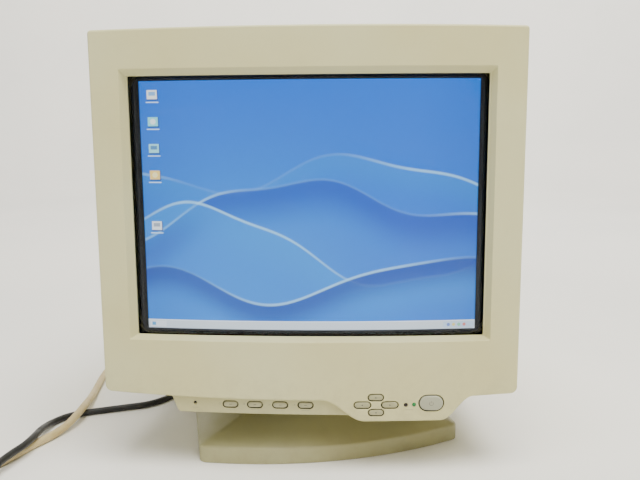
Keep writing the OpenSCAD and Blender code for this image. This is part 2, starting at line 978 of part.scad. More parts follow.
module power_connector() {
    color(black) {
        upright(rear_reach - 15, rear_reach + 3)
            translate(inlet_at)
                square([24.6, 16.6], center = true);
        upright(rear_reach + 2.5, rear_reach + 34)
            translate(inlet_at)
                polygon(rounded([29, 21], 4, 3));
        translate([inlet_at[0], rear_reach + 34, inlet_at[1]])
            rotate([-90, 0, 0])
                cylinder(h = plug_end - rear_reach - 34, r1 = 7.5, r2 = 4.8, $fn = 40);
    }
}

module cable_gland() {
    color(cabinet_beige)
        translate([gland_at[0], 0, gland_at[1]]) {
            rod(7, rear_reach - 8, rear_reach + 1);
            rod(11, rear_reach, rear_reach + 3);
            translate([0, rear_reach + 3, 0])
                rotate([-90, 0, 0])
                    cylinder(h = gland_end - rear_reach - 3, r1 = 8.5, r2 = 5.4, $fn = 40);
        }
}

// ---- Swivel ----

module swivel_shoe() {
    color([0.85, 0.85, 0.82])
        difference() {
            union() {
                intersection() {
                    ball_shell(dome_r - dome_wall - 0.4, dome_r - dome_wall - 4.4);
                    cylinder(h = 60, r = 36, $fn = 64);
                }
                translate([0, 0, 9])
                    cylinder(h = 18, r = stem_r, $fn = 64);
            }
            translate([0, 0, 8])
                cylinder(h = 16, r = 2.3, $fn = 32);
        }
}

module swivel_spring() {
    color(steel)
        translate([0, 0, 9.05])
            difference() {
                cylinder(h = 3.6, r = 17, $fn = 48);
                translate([0, 0, -1])
                    cylinder(h = 6, r = 11.2, $fn = 48);
            }
}

module swivel_washer() {
    color(steel)
        translate([0, 0, 7.6])
            difference() {
                cylinder(h = 1.4, r = 18, $fn = 48);
                translate([0, 0, -1])
                    cylinder(h = 4, r = 2.6, $fn = 32);
            }
}

module swivel_screw() {
    color(steel) {
        translate([0, 0, 4.4])
            cylinder(h = 3.2, r = 5.5, $fn = 40);
        translate([0, 0, 7])
            cylinder(h = 16, r = 2.1, $fn = 32);
    }
}

module swivel_dish() {
    color(stand_beige)
        difference() {
            union() {
                intersection() {
                    ball_shell(dish_r + dish_wall, dish_r);
                    cylinder(h = rim_z, r = 80, $fn = 96);
                }
                difference() {
                    translate([0, 0, rim_z - 6])
                        cylinder(h = 6, r = rim_r, $fn = 96);
                    translate([0, 0, rim_z - 7])
                        cylinder(h = 8, r = 79, $fn = 96);
                }
                translate([0, 0, 13])
                    cylinder(h = 5.6, r = 20, $fn = 64);
            }
            translate([0, 0, 5])
                cylinder(h = 30, r = stem_bore_r, $fn = 96);
            translate([0, 0, tilt_z])
                sphere(r = dish_r, $fn = 128);
        }
}

module glide_ring() {
    color([0.90, 0.90, 0.88])
        intersection() {
            ball_shell(dish_r - 0.05, dome_r + dish_gap);
            difference() {
                cylinder(h = 60, r = 76, $fn = 96);
                translate([0, 0, -1])
                    cylinder(h = 62, r = 58, $fn = 96);
            }
        }
}

// ---- Stand ----

// Outline of the stand, seen from above, moved in by i: straight sides, bowed front and rear
function stand_outline(i = 0, steps = 10) =
    let (w = stand_w / 2 - i, r = stand_corner_r - i, front = stand_front - i, rear = stand_rear - i)
    let (bow_w = w - r)
    concat(
        [for (k = [0:steps]) let (x = bow_w * (2 * k / steps - 1)) [x, stand_bow * pow(x / bow_w, 2) - front]],
        arc([bow_w, stand_bow - front + r], r, -70, 0),
        arc([bow_w, rear - stand_bow - r], r, 0, 70),
        [for (k = [0:steps]) let (x = bow_w * (1 - 2 * k / steps)) [x, rear - stand_bow * pow(x / bow_w, 2)]],
        arc([-bow_w, rear - stand_bow - r], r, 110, 180),
        arc([-bow_w, stand_bow - front + r], r, 180, 250));

module stand_mound(i) {
    hull() {
        translate([0, 0, stand_edge - i - 0.5])
            linear_extrude(0.5)
                polygon(stand_outline(i));
        translate([0, 0, rim_z - i - 1])
            cylinder(h = 1, r = rim_r + 3.5 - i / 2, $fn = 48);
    }
}

module stand_shell() {
    color(stand_beige)
        rotate([0, 0, stand_turn])
            difference() {
                union() {
                    linear_extrude(stand_edge)
                        polygon(stand_outline());
                    stand_mound(0);
                }
                translate([0, 0, -1])
                    linear_extrude(stand_edge - stand_wall + 1)
                        polygon(stand_outline(stand_wall));
                stand_mound(stand_wall);
                translate([0, 0, -1])
                    cylinder(h = 60, r = rim_r + 0.3, $fn = 96);
            }
}

module stand_base_plate() {
    color(black)
        rotate([0, 0, stand_turn])
            translate([0, 0, 2])
                linear_extrude(2)
                    difference() {
                        polygon(stand_outline(stand_wall + 0.3));
                        circle(r = 24, $fn = 48);
                    }
}

module rubber_feet() {
    color(black)
        rotate([0, 0, stand_turn])
            for (x = [-108, 108], y = [-82, 78])
                translate([x, y, 0])
                    cylinder(h = 2, r = 9, $fn = 40);
}

// ---- Power cord and video cable ----

module power_cord() {
    color(black) {
        tube(cord_route, cord_d);
        tube(cord_tail, cord_d);
    }
}

module power_cord_coil() {
    color(black)
        translate([cord_coil_at[0], cord_coil_at[1], coil_lift])
            rotate_extrude($fn = 72)
                translate([cord_coil_r, 0])
                    polygon([[-4, 0], [4, 0], [9, 5], [9, 12.6], [4, 17.6], [-4, 17.6], [-9, 12.6], [-9, 5]]);
}

module mains_plug() {
    color(black)
        translate([mains_plug_at[0], mains_plug_at[1], 11]) {
            rotate([0, -90, 0])
                cylinder(h = 14, r1 = 5, r2 = 8, $fn = 40);
            translate([-38, -12, -10])
                cube([26, 24, 20]);
            for (y = [-6.35, 6.35])
                translate([-55, y - 0.8, -3.2])
                    cube([18, 1.6, 6.4]);
        }
}

module video_cable() {
    color([0.82, 0.76, 0.62]) {
        tube(cable_route, cable_d);
        tube(cable_tail, cable_d);
    }
}

module video_cable_coil() {
    color([0.82, 0.76, 0.62])
        translate([cable_coil_at[0], cable_coil_at[1], coil_lift])
            rotate_extrude($fn = 72)
                translate([cable_coil_r, 0])
                    polygon([[-4, 0], [4, 0], [9.4, 5.2], [9.4, 13.2], [4, 18.4], [-4, 18.4],
                        [-9.4, 13.2], [-9.4, 5.2]]);
}

module video_plug() {
    color([0.82, 0.76, 0.62])
        translate([video_plug_at[0], video_plug_at[1], 8.6]) {
            rotate([-90, 0, 0])
                cylinder(h = 14, r1 = 5.2, r2 = 7, $fn = 40);
            translate([-8.5, 12, -8])
                cube([17, 34, 16]);
            translate([-15.5, 38, -7])
                cube([31, 8, 14]);
            translate([-8.2, 45, -4])
                cube([16.4, 7, 8]);
        }
}

module thumb_screws() {
    color(steel)
        for (side = [-1, 1])
            translate([video_plug_at[0] + side * 12.5, video_plug_at[1], 8.6]) {
                rod(2.9, 24, 37.8);
                rod(1.4, 46.2, 52);
            }
}

// A tie round the turns of a coil; its own x runs outwards from the coil's middle
module tie(coil_r, half_r, height) {
    translate([coil_r, 0, 0])
        difference() {
            translate([-half_r - 1.1, -4, 0.2])
                cube([2 * half_r + 2.2, 8, height + 2]);
            translate([-half_r - 0.3, -5, 1])
                cube([2 * half_r + 0.6, 10, height + 0.4]);
        }
}

module coil_ties() {
    color(black) {
        translate([cord_coil_at[0], cord_coil_at[1], 0])
            rotate([0, 0, 340])
                tie(cord_coil_r, 9, 17.8);
        translate([cable_coil_at[0], cable_coil_at[1], 0])
            rotate([0, 0, 250])
                tie(cable_coil_r, 9.4, 18.6);
    }
}

// ---- Sub-parts ----

front_bezel();
rear_cover();
tilt_dome();
cabinet_screws();
crt_panel();
crt_funnel();
crt_neck();
phosphor_screen();
aperture_grille();
grille_frame();
rim_band();
tube_screws();
electron_gun();
deflection_yoke();
convergence_rings();
crt_socket();
neck_board();
anode_cap();
anode_lead();
flyback_transformer();
degauss_coil();
chassis_tray();
main_board();
power_transformer();
filter_capacitors();
heatsinks();
control_board();
tact_switches();
power_lamp();
standby_lamp();
ac_inlet();
power_connector();
cable_gland();
function_button_1();
function_button_2();
function_button_3();
function_button_4();
up_button();
down_button();
left_button();
right_button();
power_button();
reset_button();
swivel_shoe();
swivel_spring();
swivel_washer();
swivel_screw();
power_cord();
power_cord_coil();
mains_plug();
video_cable();
video_cable_coil();
video_plug();
thumb_screws();
coil_ties();
stand_shell();
swivel_dish();
glide_ring();
stand_base_plate();
rubber_feet();
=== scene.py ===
"""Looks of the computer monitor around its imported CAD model. Metres, in the CAD model's own frame."""
import math

import bmesh
import bpy
from mathutils import Matrix, Vector, geometry


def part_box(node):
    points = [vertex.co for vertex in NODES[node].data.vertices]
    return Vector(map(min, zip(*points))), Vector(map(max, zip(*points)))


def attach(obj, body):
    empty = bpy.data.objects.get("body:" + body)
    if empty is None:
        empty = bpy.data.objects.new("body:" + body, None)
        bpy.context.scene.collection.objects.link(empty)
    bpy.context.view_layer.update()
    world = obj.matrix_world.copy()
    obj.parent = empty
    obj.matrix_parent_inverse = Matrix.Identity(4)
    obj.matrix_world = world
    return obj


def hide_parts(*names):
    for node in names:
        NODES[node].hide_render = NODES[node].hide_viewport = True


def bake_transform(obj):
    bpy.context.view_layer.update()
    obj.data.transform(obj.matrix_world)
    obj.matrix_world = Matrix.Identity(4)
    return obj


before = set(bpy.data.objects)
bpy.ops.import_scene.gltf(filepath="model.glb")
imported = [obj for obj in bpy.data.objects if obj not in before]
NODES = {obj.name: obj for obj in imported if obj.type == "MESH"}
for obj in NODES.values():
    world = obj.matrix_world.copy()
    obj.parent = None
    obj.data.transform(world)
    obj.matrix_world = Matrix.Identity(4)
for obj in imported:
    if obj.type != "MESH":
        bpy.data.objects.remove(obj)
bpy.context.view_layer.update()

MM = 0.001
TAU = 2 * math.pi


# ---------------------------------------------------------------- camera and studio

def rgb(*value):
    """An sRGB colour, 0 to 255, as linear red, green and blue with alpha."""
    def linear(c):
        c /= 255
        return c / 12.92 if c <= 0.04045 else ((c + 0.055) / 1.055) ** 2.4
    return tuple(linear(c) for c in value) + (1.0,)


def set_camera():
    """The camera at the photograph's viewing angle, fitted to the cabinet and the stand."""
    data = bpy.data.cameras.new("camera")
    data.sensor_width = 36
    data.lens = 41.25
    data.clip_start = 0.05
    camera = bpy.data.objects.new("camera", data)
    bpy.context.scene.collection.objects.link(camera)
    turn = (Matrix.Rotation(math.radians(2.09), 3, "Z")
            @ Matrix.Rotation(math.radians(-8.75), 3, "X")
            @ Matrix.Rotation(math.radians(0.40), 3, "Y")
            @ Matrix.Rotation(math.radians(90), 3, "X"))
    camera.matrix_world = Matrix.Translation((0.03673, -0.82585, 0.33707)) @ turn.to_4x4()
    bpy.context.scene.camera = camera


def area_light(name, at, target, size, watts, colour):
    data = bpy.data.lights.new(name, "AREA")
    data.shape = "RECTANGLE"
    data.size, data.size_y = size
    data.energy = watts
    data.color = colour
    light = bpy.data.objects.new(name, data)
    bpy.context.scene.collection.objects.link(light)
    light.location = at
    light.rotation_euler = (Vector(target) - Vector(at)).to_track_quat("-Z", "Y").to_euler()


def set_studio():
    world = bpy.data.worlds.new("studio")
    bpy.context.scene.world = world
    world.use_nodes = True
    background = world.node_tree.nodes["Background"]
    background.inputs["Color"].default_value = (1.0, 0.98, 0.92, 1)
    background.inputs["Strength"].default_value = 0.14
    area_light("overhead", (0.3, -0.7, 2.4), (0.05, -0.1, 0), (1.9, 1.2), 96, (1.0, 0.98, 0.91))
    area_light("front_right", (0.8, -1.5, 2.1), (0, 0, 0.2), (1.2, 0.8), 20, (1.0, 0.98, 0.91))
    area_light("front_left", (-1.9, -1.3, 1.4), (0, 0, 0.25), (1.2, 1.0), 6, (1.0, 0.98, 0.94))
    area_light("backdrop", (0.2, 1.4, 2.8), (0.2, 4.0, 0.8), (2.6, 0.8), 150, (1.0, 0.98, 0.94))


# ---------------------------------------------------------------- mesh tools

def raw(name, verts, faces, weld=1e-6):
    """A mesh object from points in millimetres, not dressed yet."""
    mesh = bpy.data.meshes.new(name)
    mesh.from_pydata([[c * MM for c in v] for v in verts], [], faces)
    obj = bpy.data.objects.new(name, mesh)
    bpy.context.scene.collection.objects.link(obj)
    tidy(obj, weld)
    return obj


def piece(name, shape, body, slot, material, angle, replaces=(), weld=1e-6):
    """A shown piece: welded, with its normals outward and smooth up to the angle."""
    return dress(raw(name, *shape, weld), body, slot, material, angle, replaces)


def tidy(obj, weld):
    """Weld near points, drop what has no area and turn the normals outward."""
    bm = bmesh.new()
    bm.from_mesh(obj.data)
    bmesh.ops.remove_doubles(bm, verts=bm.verts, dist=weld)
    bmesh.ops.dissolve_degenerate(bm, edges=bm.edges, dist=1e-7)
    bmesh.ops.delete(bm, geom=[v for v in bm.verts if not v.link_faces], context="VERTS")
    bmesh.ops.recalc_face_normals(bm, faces=bm.faces)
    bm.to_mesh(obj.data)
    bm.free()


def dress(obj, body, slot, material, angle, replaces):
    """Material, smooth shading, body and the CAD nodes that it stands for. The slot is not used."""
    obj.data.materials.clear()
    obj.data.materials.append(material)
    obj.data.shade_smooth()
    obj.data.set_sharp_from_angle(angle=math.radians(angle))
    weigh = obj.modifiers.new("weigh", "WEIGHTED_NORMAL")
    weigh.keep_sharp = True
    if body:
        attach(obj, body)
    if replaces:
        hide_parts(*replaces)
    return obj


def bridge(rows, closed=True):
    """Quads between rows of equally many points. Returns the points and the faces."""
    n = len(rows[0])
    faces = []
    for k in range(len(rows) - 1):
        for j in range(n if closed else n - 1):
            a, b = k * n + j, k * n + (j + 1) % n
            faces.append([a, b, b + n, a + n])
    return [v for row in rows for v in row], faces


def ring(rows):
    """Quads between rows, and from the last row back to the first."""
    return bridge(rows + [rows[0]])


def solid(rows):
    """Closed rows with flat end faces."""
    verts, faces = bridge(rows)
    n = len(rows[0])
    return verts, faces + [list(range(n))[::-1], list(range(len(verts) - n, len(verts)))]


def merge(*parts):
    verts, faces = [], []
    for v, f in parts:
        faces += [[i + len(verts) for i in face] for face in f]
        verts += v
    return verts, faces


def arc(c, r, a, b, n):
    return [(c[0] + r * math.cos(math.radians(a + (b - a) * k / n)),
             c[1] + r * math.sin(math.radians(a + (b - a) * k / n))) for k in range(n + 1)]


def rounded(w, h, r, n, centre=(0, 0)):
    """Rounded rectangle, anticlockwise."""
    x, y = w / 2 - r, h / 2 - r
    cx, cy = centre
    return (arc((cx + x, cy + y), r, 0, 90, n) + arc((cx - x, cy + y), r, 90, 180, n)
            + arc((cx - x, cy - y), r, 180, 270, n) + arc((cx + x, cy - y), r, 270, 360, n))


def stretch_loop(loop, step):
    """The same outline with points added so that no side is longer than step."""
    out = []
    for a, b in zip(loop, loop[1:] + loop[:1]):
        n = max(1, math.ceil(math.dist(a, b) / step))
        out += [(a[0] + (b[0] - a[0]) * k / n, a[1] + (b[1] - a[1]) * k / n) for k in range(n)]
    return out


def outset(loop, d):
    """An anticlockwise outline moved outward by d, keeping its number of points."""
    out = []
    n = len(loop)
    for k in range(n):
        a, b, c = (Vector(loop[(k + j) % n]) for j in (-1, 0, 1))
        u = (b - a).normalized()
        v = (c - b).normalized()
        p, q = Vector((u.y, -u.x)), Vector((v.y, -v.x))
        m = p + q
        m *= d / max(0.25, m.dot(p))
        out.append((b.x + m.x, b.y + m.y))
    return out


def inside(point, loop):
    x, y = point
    found = False
    for (x0, y0), (x1, y1) in zip(loop, loop[1:] + loop[:1]):
        if (y0 > y) != (y1 > y) and x < x0 + (x1 - x0) * (y - y0) / (y1 - y0):
            found = not found
    return found


def near(point, loops, d):
    x, y = point
    for loop in loops:
        for (x0, y0), (x1, y1) in zip(loop, loop[1:] + loop[:1]):
            dx, dy = x1 - x0, y1 - y0
            t = max(0, min(1, ((x - x0) * dx + (y - y0) * dy) / (dx * dx + dy * dy + 1e-12)))
            if math.hypot(x - x0 - t * dx, y - y0 - t * dy) < d:
                return True
    return False


def fill(outer, holes, step, lift):
    """A sheet between outlines, with a grid of points inside it, lifted to three dimensions by lift(x, z)."""
    loops = [outer] + holes
    points, edges = [], []
    for loop in loops:
        base = len(points)
        points += loop
        edges += [(base + k, base + (k + 1) % len(loop)) for k in range(len(loop))]
    xs, zs = [p[0] for p in outer], [p[1] for p in outer]
    x0, z0 = min(xs), min(zs)
    for i in range(int((max(xs) - x0) / step) + 1):
        for j in range(int((max(zs) - z0) / step) + 1):
            p = (x0 + (i + 0.5) * step, z0 + (j + 0.5) * step)
            if inside(p, outer) and not any(inside(p, h) for h in holes) and not near(p, loops, step * 0.45):
                points.append(p)
    result = geometry.delaunay_2d_cdt([Vector(p) for p in points], edges, [], 0, 1e-6)
    flat, faces = result[0], result[2]
    kept = []
    for f in faces:
        c = [sum(flat[i][k] for i in f) / len(f) for k in (0, 1)]
        if inside(c, outer) and not any(inside(c, h) for h in holes):
            kept.append(list(f))
    return [lift(v[0], v[1]) for v in flat], kept


def boolean(obj, other, operation):
    """obj changed by other, which is removed."""
    m = obj.modifiers.new("cut", "BOOLEAN")
    m.operation = operation
    m.solver = "EXACT"
    m.object = other
    graph = bpy.context.evaluated_depsgraph_get()
    mesh = bpy.data.meshes.new_from_object(obj.evaluated_get(graph))
    obj.modifiers.clear()
    obj.data = mesh
    bpy.data.objects.remove(other)
    return obj


def quarter(r, n):
    """A rounded edge as (distance in, depth) pairs, from the face to the side."""
    return [(r * (1 - math.sin(math.pi / 2 * k / n)), r * (1 - math.cos(math.pi / 2 * k / n)))
            for k in range(n + 1)]


def turned(profile, centre, axis, n):
    """Rows of a shape turned round the Y or Z axis: profile is (distance along, radius)."""
    x, y, z = centre
    rows = []
    for t, r in profile:
        ends = [(r * math.cos(TAU * k / n), r * math.sin(TAU * k / n)) for k in range(n)]
        rows.append([(x + u, y + t, z + v) if axis == "Y" else (x + u, y + v, z + t) for u, v in ends])
    return rows


# ---------------------------------------------------------------- materials

class Shader:
    """A material with a small language for its nodes."""

    def __init__(self, name, **plain):
        self.material = bpy.data.materials.new(name)
        self.material.use_nodes = True
        self.tree = self.material.node_tree
        self.bsdf = self.tree.nodes["Principled BSDF"]
        for key, value in plain.items():
            self.bsdf.inputs[key.replace("_", " ")].default_value = value
        self.at = self.tree.nodes.new("ShaderNodeTexCoord").outputs["Object"]

    def put(self, socket, value):
        if isinstance(value, bpy.types.NodeSocket):
            self.tree.links.new(value, socket)
        else:
            socket.default_value = value

    def set(self, name, value):
        self.put(self.bsdf.inputs[name], value)
        return self

    def noise(self, scale, detail, rough, stretch=None):
        node = self.tree.nodes.new("ShaderNodeTexNoise")
        for key, value in (("Scale", scale), ("Detail", detail), ("Roughness", rough)):
            node.inputs[key].default_value = value
        self.put(node.inputs["Vector"], self.scaled(stretch) if stretch else self.at)
        return node.outputs["Fac"]

    def cells(self, scale):
        node = self.tree.nodes.new("ShaderNodeTexVoronoi")
        node.inputs["Scale"].default_value = scale
        self.put(node.inputs["Vector"], self.at)
        return node.outputs["Distance"]

    def scaled(self, factors):
        node = self.tree.nodes.new("ShaderNodeMapping")
        node.inputs["Scale"].default_value = factors
        self.put(node.inputs["Vector"], self.at)
        return node.outputs["Vector"]

    def axis(self, k):
        node = self.tree.nodes.new("ShaderNodeSeparateXYZ")
        self.put(node.inputs["Vector"], self.at)
        return node.outputs[k]

    def ramp(self, value, low, high, a=0.0, b=1.0):
        node = self.tree.nodes.new("ShaderNodeMapRange")
        node.interpolation_type = "SMOOTHSTEP"
        for key, v in (("From Min", low), ("From Max", high), ("To Min", a), ("To Max", b)):
            node.inputs[key].default_value = v
        self.put(node.inputs["Value"], value)
        return node.outputs["Result"]

    def spots(self, scale, detail, rough, low, high, a=0.0, b=1.0):
        """Noise spread from a to b between two of its levels."""
        return self.ramp(self.noise(scale, detail, rough), low, high, a, b)

    def math(self, operation, a, b=0.0, c=0.0):
        node = self.tree.nodes.new("ShaderNodeMath")
        node.operation = operation
        for socket, v in zip(node.inputs, (a, b, c)):
            self.put(socket, v)
        return node.outputs["Value"]

    def times(self, a, b):
        return self.math("MULTIPLY", a, b)

    def away(self, value, centre):
        """How far value is from centre."""
        return self.math("ABSOLUTE", self.math("SUBTRACT", value, centre))

    def mix(self, factor, a, b):
        node = self.tree.nodes.new("ShaderNodeMix")
        node.data_type = "RGBA"
        for key, value in (("Factor", factor), ("A", a), ("B", b)):
            self.put(node.inputs[key], value)
        return node.outputs["Result"]

    def bump(self, height, strength, distance):
        node = self.tree.nodes.new("ShaderNodeBump")
        node.inputs["Strength"].default_value = strength
        node.inputs["Distance"].default_value = distance
        self.put(node.inputs["Height"], height)
        return node.outputs["Normal"]


def shade(colour, factor):
    """The colour made darker or lighter."""
    return tuple(c * factor for c in colour[:3]) + (1.0,)


def plastic(name, colour, aged, rough, grain, grime, low=0.0, high=0.06):
    """Moulded plastic: a fine spark-eroded grain, slow yellowing, handling marks and dust in low places."""
    s = Shader(name)
    tone = s.mix(s.spots(5.5, 3, 0.55, 0.35, 0.7), colour, aged)
    blotch = s.spots(34, 4, 0.62, 0.52, 0.78)
    tone = s.mix(s.times(blotch, 0.28 * grime), tone, shade(aged, 0.72))
    dust = s.times(s.ramp(s.axis(2), high, low), s.spots(70, 5, 0.7, 0.38, 0.72))
    tone = s.mix(s.times(dust, 0.5 * grime), tone, rgb(128, 112, 84))
    rubbed = s.ramp(s.noise(26, 6, 0.72, (1, 1, 5)), 0.66, 0.74)
    tone = s.mix(s.times(rubbed, 0.22 * grime), tone, shade(colour, 0.62))
    speck = s.ramp(s.cells(420), 0.0, 0.09, 1.0, 0.0)
    tone = s.mix(s.times(speck, s.spots(60, 2, 0.5, 0.58, 0.66, 0.0, 0.45 * grime)), tone, rgb(92, 80, 62))
    s.set("Base Color", tone)
    fine = s.noise(2600, 2, 0.6)
    s.set("Roughness", s.math("ADD", s.spots(48, 4, 0.6, 0.3, 0.75, rough - 0.07, rough + 0.08),
                              s.ramp(fine, 0.3, 0.7, -0.03, 0.03)))
    coarse = s.noise(900, 2, 0.5)
    s.set("Normal", s.bump(s.math("ADD", fine, s.times(coarse, 0.8)), 0.32 * grain, 0.00012))
    return s.material


def rubbery(name, colour, worn, rough, grain=1.0):
    """Extruded or moulded vinyl and rubber: dusty, with a soft sheen and fine drawn lines."""
    s = Shader(name)
    tone = s.mix(s.spots(40, 4, 0.65, 0.42, 0.75, 0.0, 0.8), colour, worn)
    tone = s.mix(s.spots(420, 3, 0.6, 0.55, 0.8, 0.0, 0.35), tone, shade(worn, 1.25))
    s.set("Base Color", tone)
    s.set("Roughness", s.spots(90, 4, 0.6, 0.3, 0.75, rough - 0.1, rough + 0.12))
    s.set("Normal", s.bump(s.math("ADD", s.noise(1500, 2, 0.6), s.noise(240, 3, 0.5)), 0.3 * grain, 0.0001))
    return s.material


def metal(name, colour, rough, brushed=(1, 1, 1)):
    """Bare or plated metal with drawn lines and dull patches."""
    s = Shader(name, Metallic=1.0)
    line = s.noise(900, 3, 0.6, brushed)
    tone = s.mix(s.spots(60, 4, 0.6, 0.4, 0.75, 0.0, 0.5), colour, shade(colour, 0.55))
    s.set("Base Color", s.mix(s.ramp(line, 0.35, 0.7, 0.0, 0.3), tone, shade(colour, 1.1)))
    s.set("Roughness", s.math("ADD", s.spots(110, 4, 0.6, 0.3, 0.7, rough - 0.08, rough + 0.14),
                              s.ramp(line, 0.3, 0.7, -0.04, 0.04)))
    s.set("Normal", s.bump(line, 0.15, 0.00006))
    return s.material


def coated(name, colour, spot, rough, scale, amount, bump):
    """Lacquered, printed or potted surfaces inside the cabinet."""
    s = Shader(name)
    tone = s.mix(s.spots(scale, 4, 0.6, 0.42, 0.66, 0.0, amount), colour, spot)
    tone = s.mix(s.spots(22, 3, 0.6, 0.45, 0.8, 0.0, 0.35), tone, shade(colour, 0.6))
    s.set("Base Color", tone)
    s.set("Roughness", s.spots(120, 3, 0.6, 0.3, 0.7, rough - 0.08, rough + 0.15))
    s.set("Normal", s.bump(s.noise(scale * 1.7, 3, 0.6), bump, 0.0002))
    return s.material


BEIGE = rgb(205, 202, 156)
BEIGE_AGED = rgb(202, 195, 142)


def make_stage():
    """A pale floor that turns up, a good way off all round, into a low pale wall."""
    reach, bend, top, sides = 4.2, 1.4, 3.2, 96
    line = [(r, 0.0) for r in (0.0005, 0.6, 1.4, 2.2, reach - bend)]
    line += [(reach - bend + bend * math.sin(a), bend - bend * math.cos(a))
             for a in (math.pi / 2 * k / 20 for k in range(1, 21))]
    line.append((reach, top))
    verts, faces = bridge(turned([(z, r) for r, z in line], (0, 0, 0), "Z", sides))
    faces.append(list(range(sides))[::-1])
    mesh = bpy.data.meshes.new("floor")
    mesh.from_pydata(verts, [], faces)
    mesh.shade_smooth()
    floor = bpy.data.objects.new("floor", mesh)
    bpy.context.scene.collection.objects.link(floor)
    s = Shader("pale_floor")
    s.set("Base Color", s.mix(s.spots(1.4, 3, 0.5, 0.35, 0.7), rgb(246, 244, 239), rgb(240, 239, 235)))
    s.set("Roughness", s.spots(6, 3, 0.5, 0.3, 0.7, 0.62, 0.74))
    floor.data.materials.append(s.material)


# ---------------------------------------------------------------- cords

def spline(points, step):
    """Points at about equal steps on a smooth curve through the given ones."""
    p = [Vector(q) for q in points]
    p = [2 * p[0] - p[1]] + p + [2 * p[-1] - p[-2]]
    dense = []
    for a, b, c, d in zip(p, p[1:], p[2:], p[3:]):
        t1 = (b - a).length ** 0.5
        t2 = t1 + (c - b).length ** 0.5
        t3 = t2 + (d - c).length ** 0.5
        for k in range(24):
            t = t1 + (t2 - t1) * k / 24
            ab = a + (b - a) * (t / t1)
            bc = b + (c - b) * ((t - t1) / (t2 - t1))
            cd = c + (d - c) * ((t - t2) / (t3 - t2))
            abc = ab + (bc - ab) * (t / t2)
            bcd = bc + (cd - bc) * ((t - t1) / (t3 - t1))
            dense.append(abc + (bcd - abc) * ((t - t1) / (t2 - t1)))
    dense.append(p[-2])
    return resample(dense, step)


def resample(line, step):
    total = sum((b - a).length for a, b in zip(line, line[1:]))
    count = max(2, round(total / step))
    out, gone, k = [line[0]], 0.0, 0
    for j in range(1, count):
        want = total * j / count
        while gone + (line[k + 1] - line[k]).length < want:
            gone += (line[k + 1] - line[k]).length
            k += 1
        out.append(line[k].lerp(line[k + 1], (want - gone) / (line[k + 1] - line[k]).length))
    return out + [line[-1]]


def sweep_frames(path):
    """A direction, and two directions across it, at each point of a path, without twist."""
    frames = []
    side = None
    for k in range(len(path)):
        t = (path[min(k + 1, len(path) - 1)] - path[max(k - 1, 0)]).normalized()
        if side is None:
            side = t.cross(Vector((0, 0, 1)) if abs(t.z) < 0.9 else Vector((1, 0, 0)))
        side = (side - side.dot(t) * t).normalized()
        frames.append((t, side, t.cross(side)))
    return frames


def bundle(centre, coil_r, height, spacing, start, count, lean, turn):
    """Points of a coil whose turns twist slowly round the bundle's own middle, so that none lies in another."""
    out = []
    steps = round(count * 30)
    for k in range(steps + 1):
        t = count * k / steps
        a = math.radians(start - 360 * t)
        b = math.radians(lean - turn * t)
        r = coil_r + spacing * math.cos(b)
        out.append((centre[0] + r * math.cos(a), centre[1] + r * math.sin(a), height + spacing * math.sin(b)))
    return out


def tube(path, d):
    """A round tube of diameter d along a path."""
    sides = 20
    return solid([[tuple(p + (math.cos(TAU * j / sides) * u + math.sin(TAU * j / sides) * w) * d / 2)
                   for j in range(sides)] for p, (_, u, w) in zip(path, sweep_frames(path))])


def lay_cord(name, points, d, slot, material, nodes):
    """A cord from its route in millimetres: it bends up to the cabinet."""
    path = spline(points, 3.0)
    obj = piece(name, tube(path, d), None, slot, material, angle=60, weld=0)
    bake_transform(obj)
    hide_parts(*nodes)
    [[c * MM for c in p] for p in path]


CORD_D = 7.4
CABLE_D = 8.6
CORD_COIL = (-350, -238)
CABLE_COIL = (-402, -128)
CORD_ROUTE = [
    (-40, 342, 146), (-40, 352, 146), (-40, 363, 144.5), (-42, 382, 138), (-45, 396, 122), (-49, 404, 100),
    (-54, 407, 76), (-60, 406, 52), (-68, 400, 30), (-80, 388, 13), (-96, 371, 5), (-112, 352, 4),
    (-127, 330, 4), (-140, 307, 4), (-151, 283, 4), (-160, 258, 4), (-167, 232, 4), (-172, 206, 4),
    (-175, 180, 4), (-176, 154, 4), (-176, 128, 4), (-176, 104, 4), (-177, 80, 4), (-181, 58, 4),
    (-190, 38, 4), (-205, 22, 4), (-229, 11, 4), (-254, 1, 4), (-275, -8, 4), (-291, -20, 4),
    (-300, -38, 4.6), (-301, -57, 7.5), (-298, -78, 11.8), (-296, -98, 13.6), (-297, -118, 13.6),
    (-301, -136, 13.4), (-305, -154, 12.6), (-308, -173, 10.4), (-308.5, -194, 7.6), (-307, -217, 5.8),
    (-305.3, -238, 5.6)]
CORD_TAIL = [(-350, -283.9, 11.4), (-363, -283, 11.5), (-377, -280, 11.2), (-390, -279, 11)]
CABLE_ROUTE = [
    (-105, 318, 160), (-105, 329, 160), (-106, 342, 158), (-109, 358, 152), (-114, 370, 137),
    (-120, 376, 115), (-127, 378, 91), (-136, 376, 67), (-147, 371, 44), (-161, 362, 23), (-179, 350, 9),
    (-200, 336, 5), (-221, 319, 5), (-240, 299, 5), (-256, 277, 5), (-269, 253, 5), (-279, 227, 5),
    (-287, 200, 5), (-293, 172, 5), (-295, 144, 5), (-292.5, 113, 5), (-288.5, 84, 5), (-284.5, 58, 5.4),
    (-280, 32, 7.6), (-275.5, 7, 11.4), (-273, -14, 13.3), (-273.5, -33, 11.8), (-277.5, -50, 7.8),
    (-283.5, -66, 5.3), (-290, -82, 4.7), (-297, -97, 4.5), (-303, -113, 4.5), (-309, -130, 4.5),
    (-317, -147, 4.5), (-330, -161, 4.5), (-348, -171, 4.8), (-373, -176.5, 5.2), (-402, -177.3, 5.7)]
CABLE_TAIL = [(-451.9, -128, 12.8), (-450.8, -114, 12), (-447.5, -101, 9.8), (-446, -88, 8.6)]


# ---------------------------------------------------------------- plugs and ties

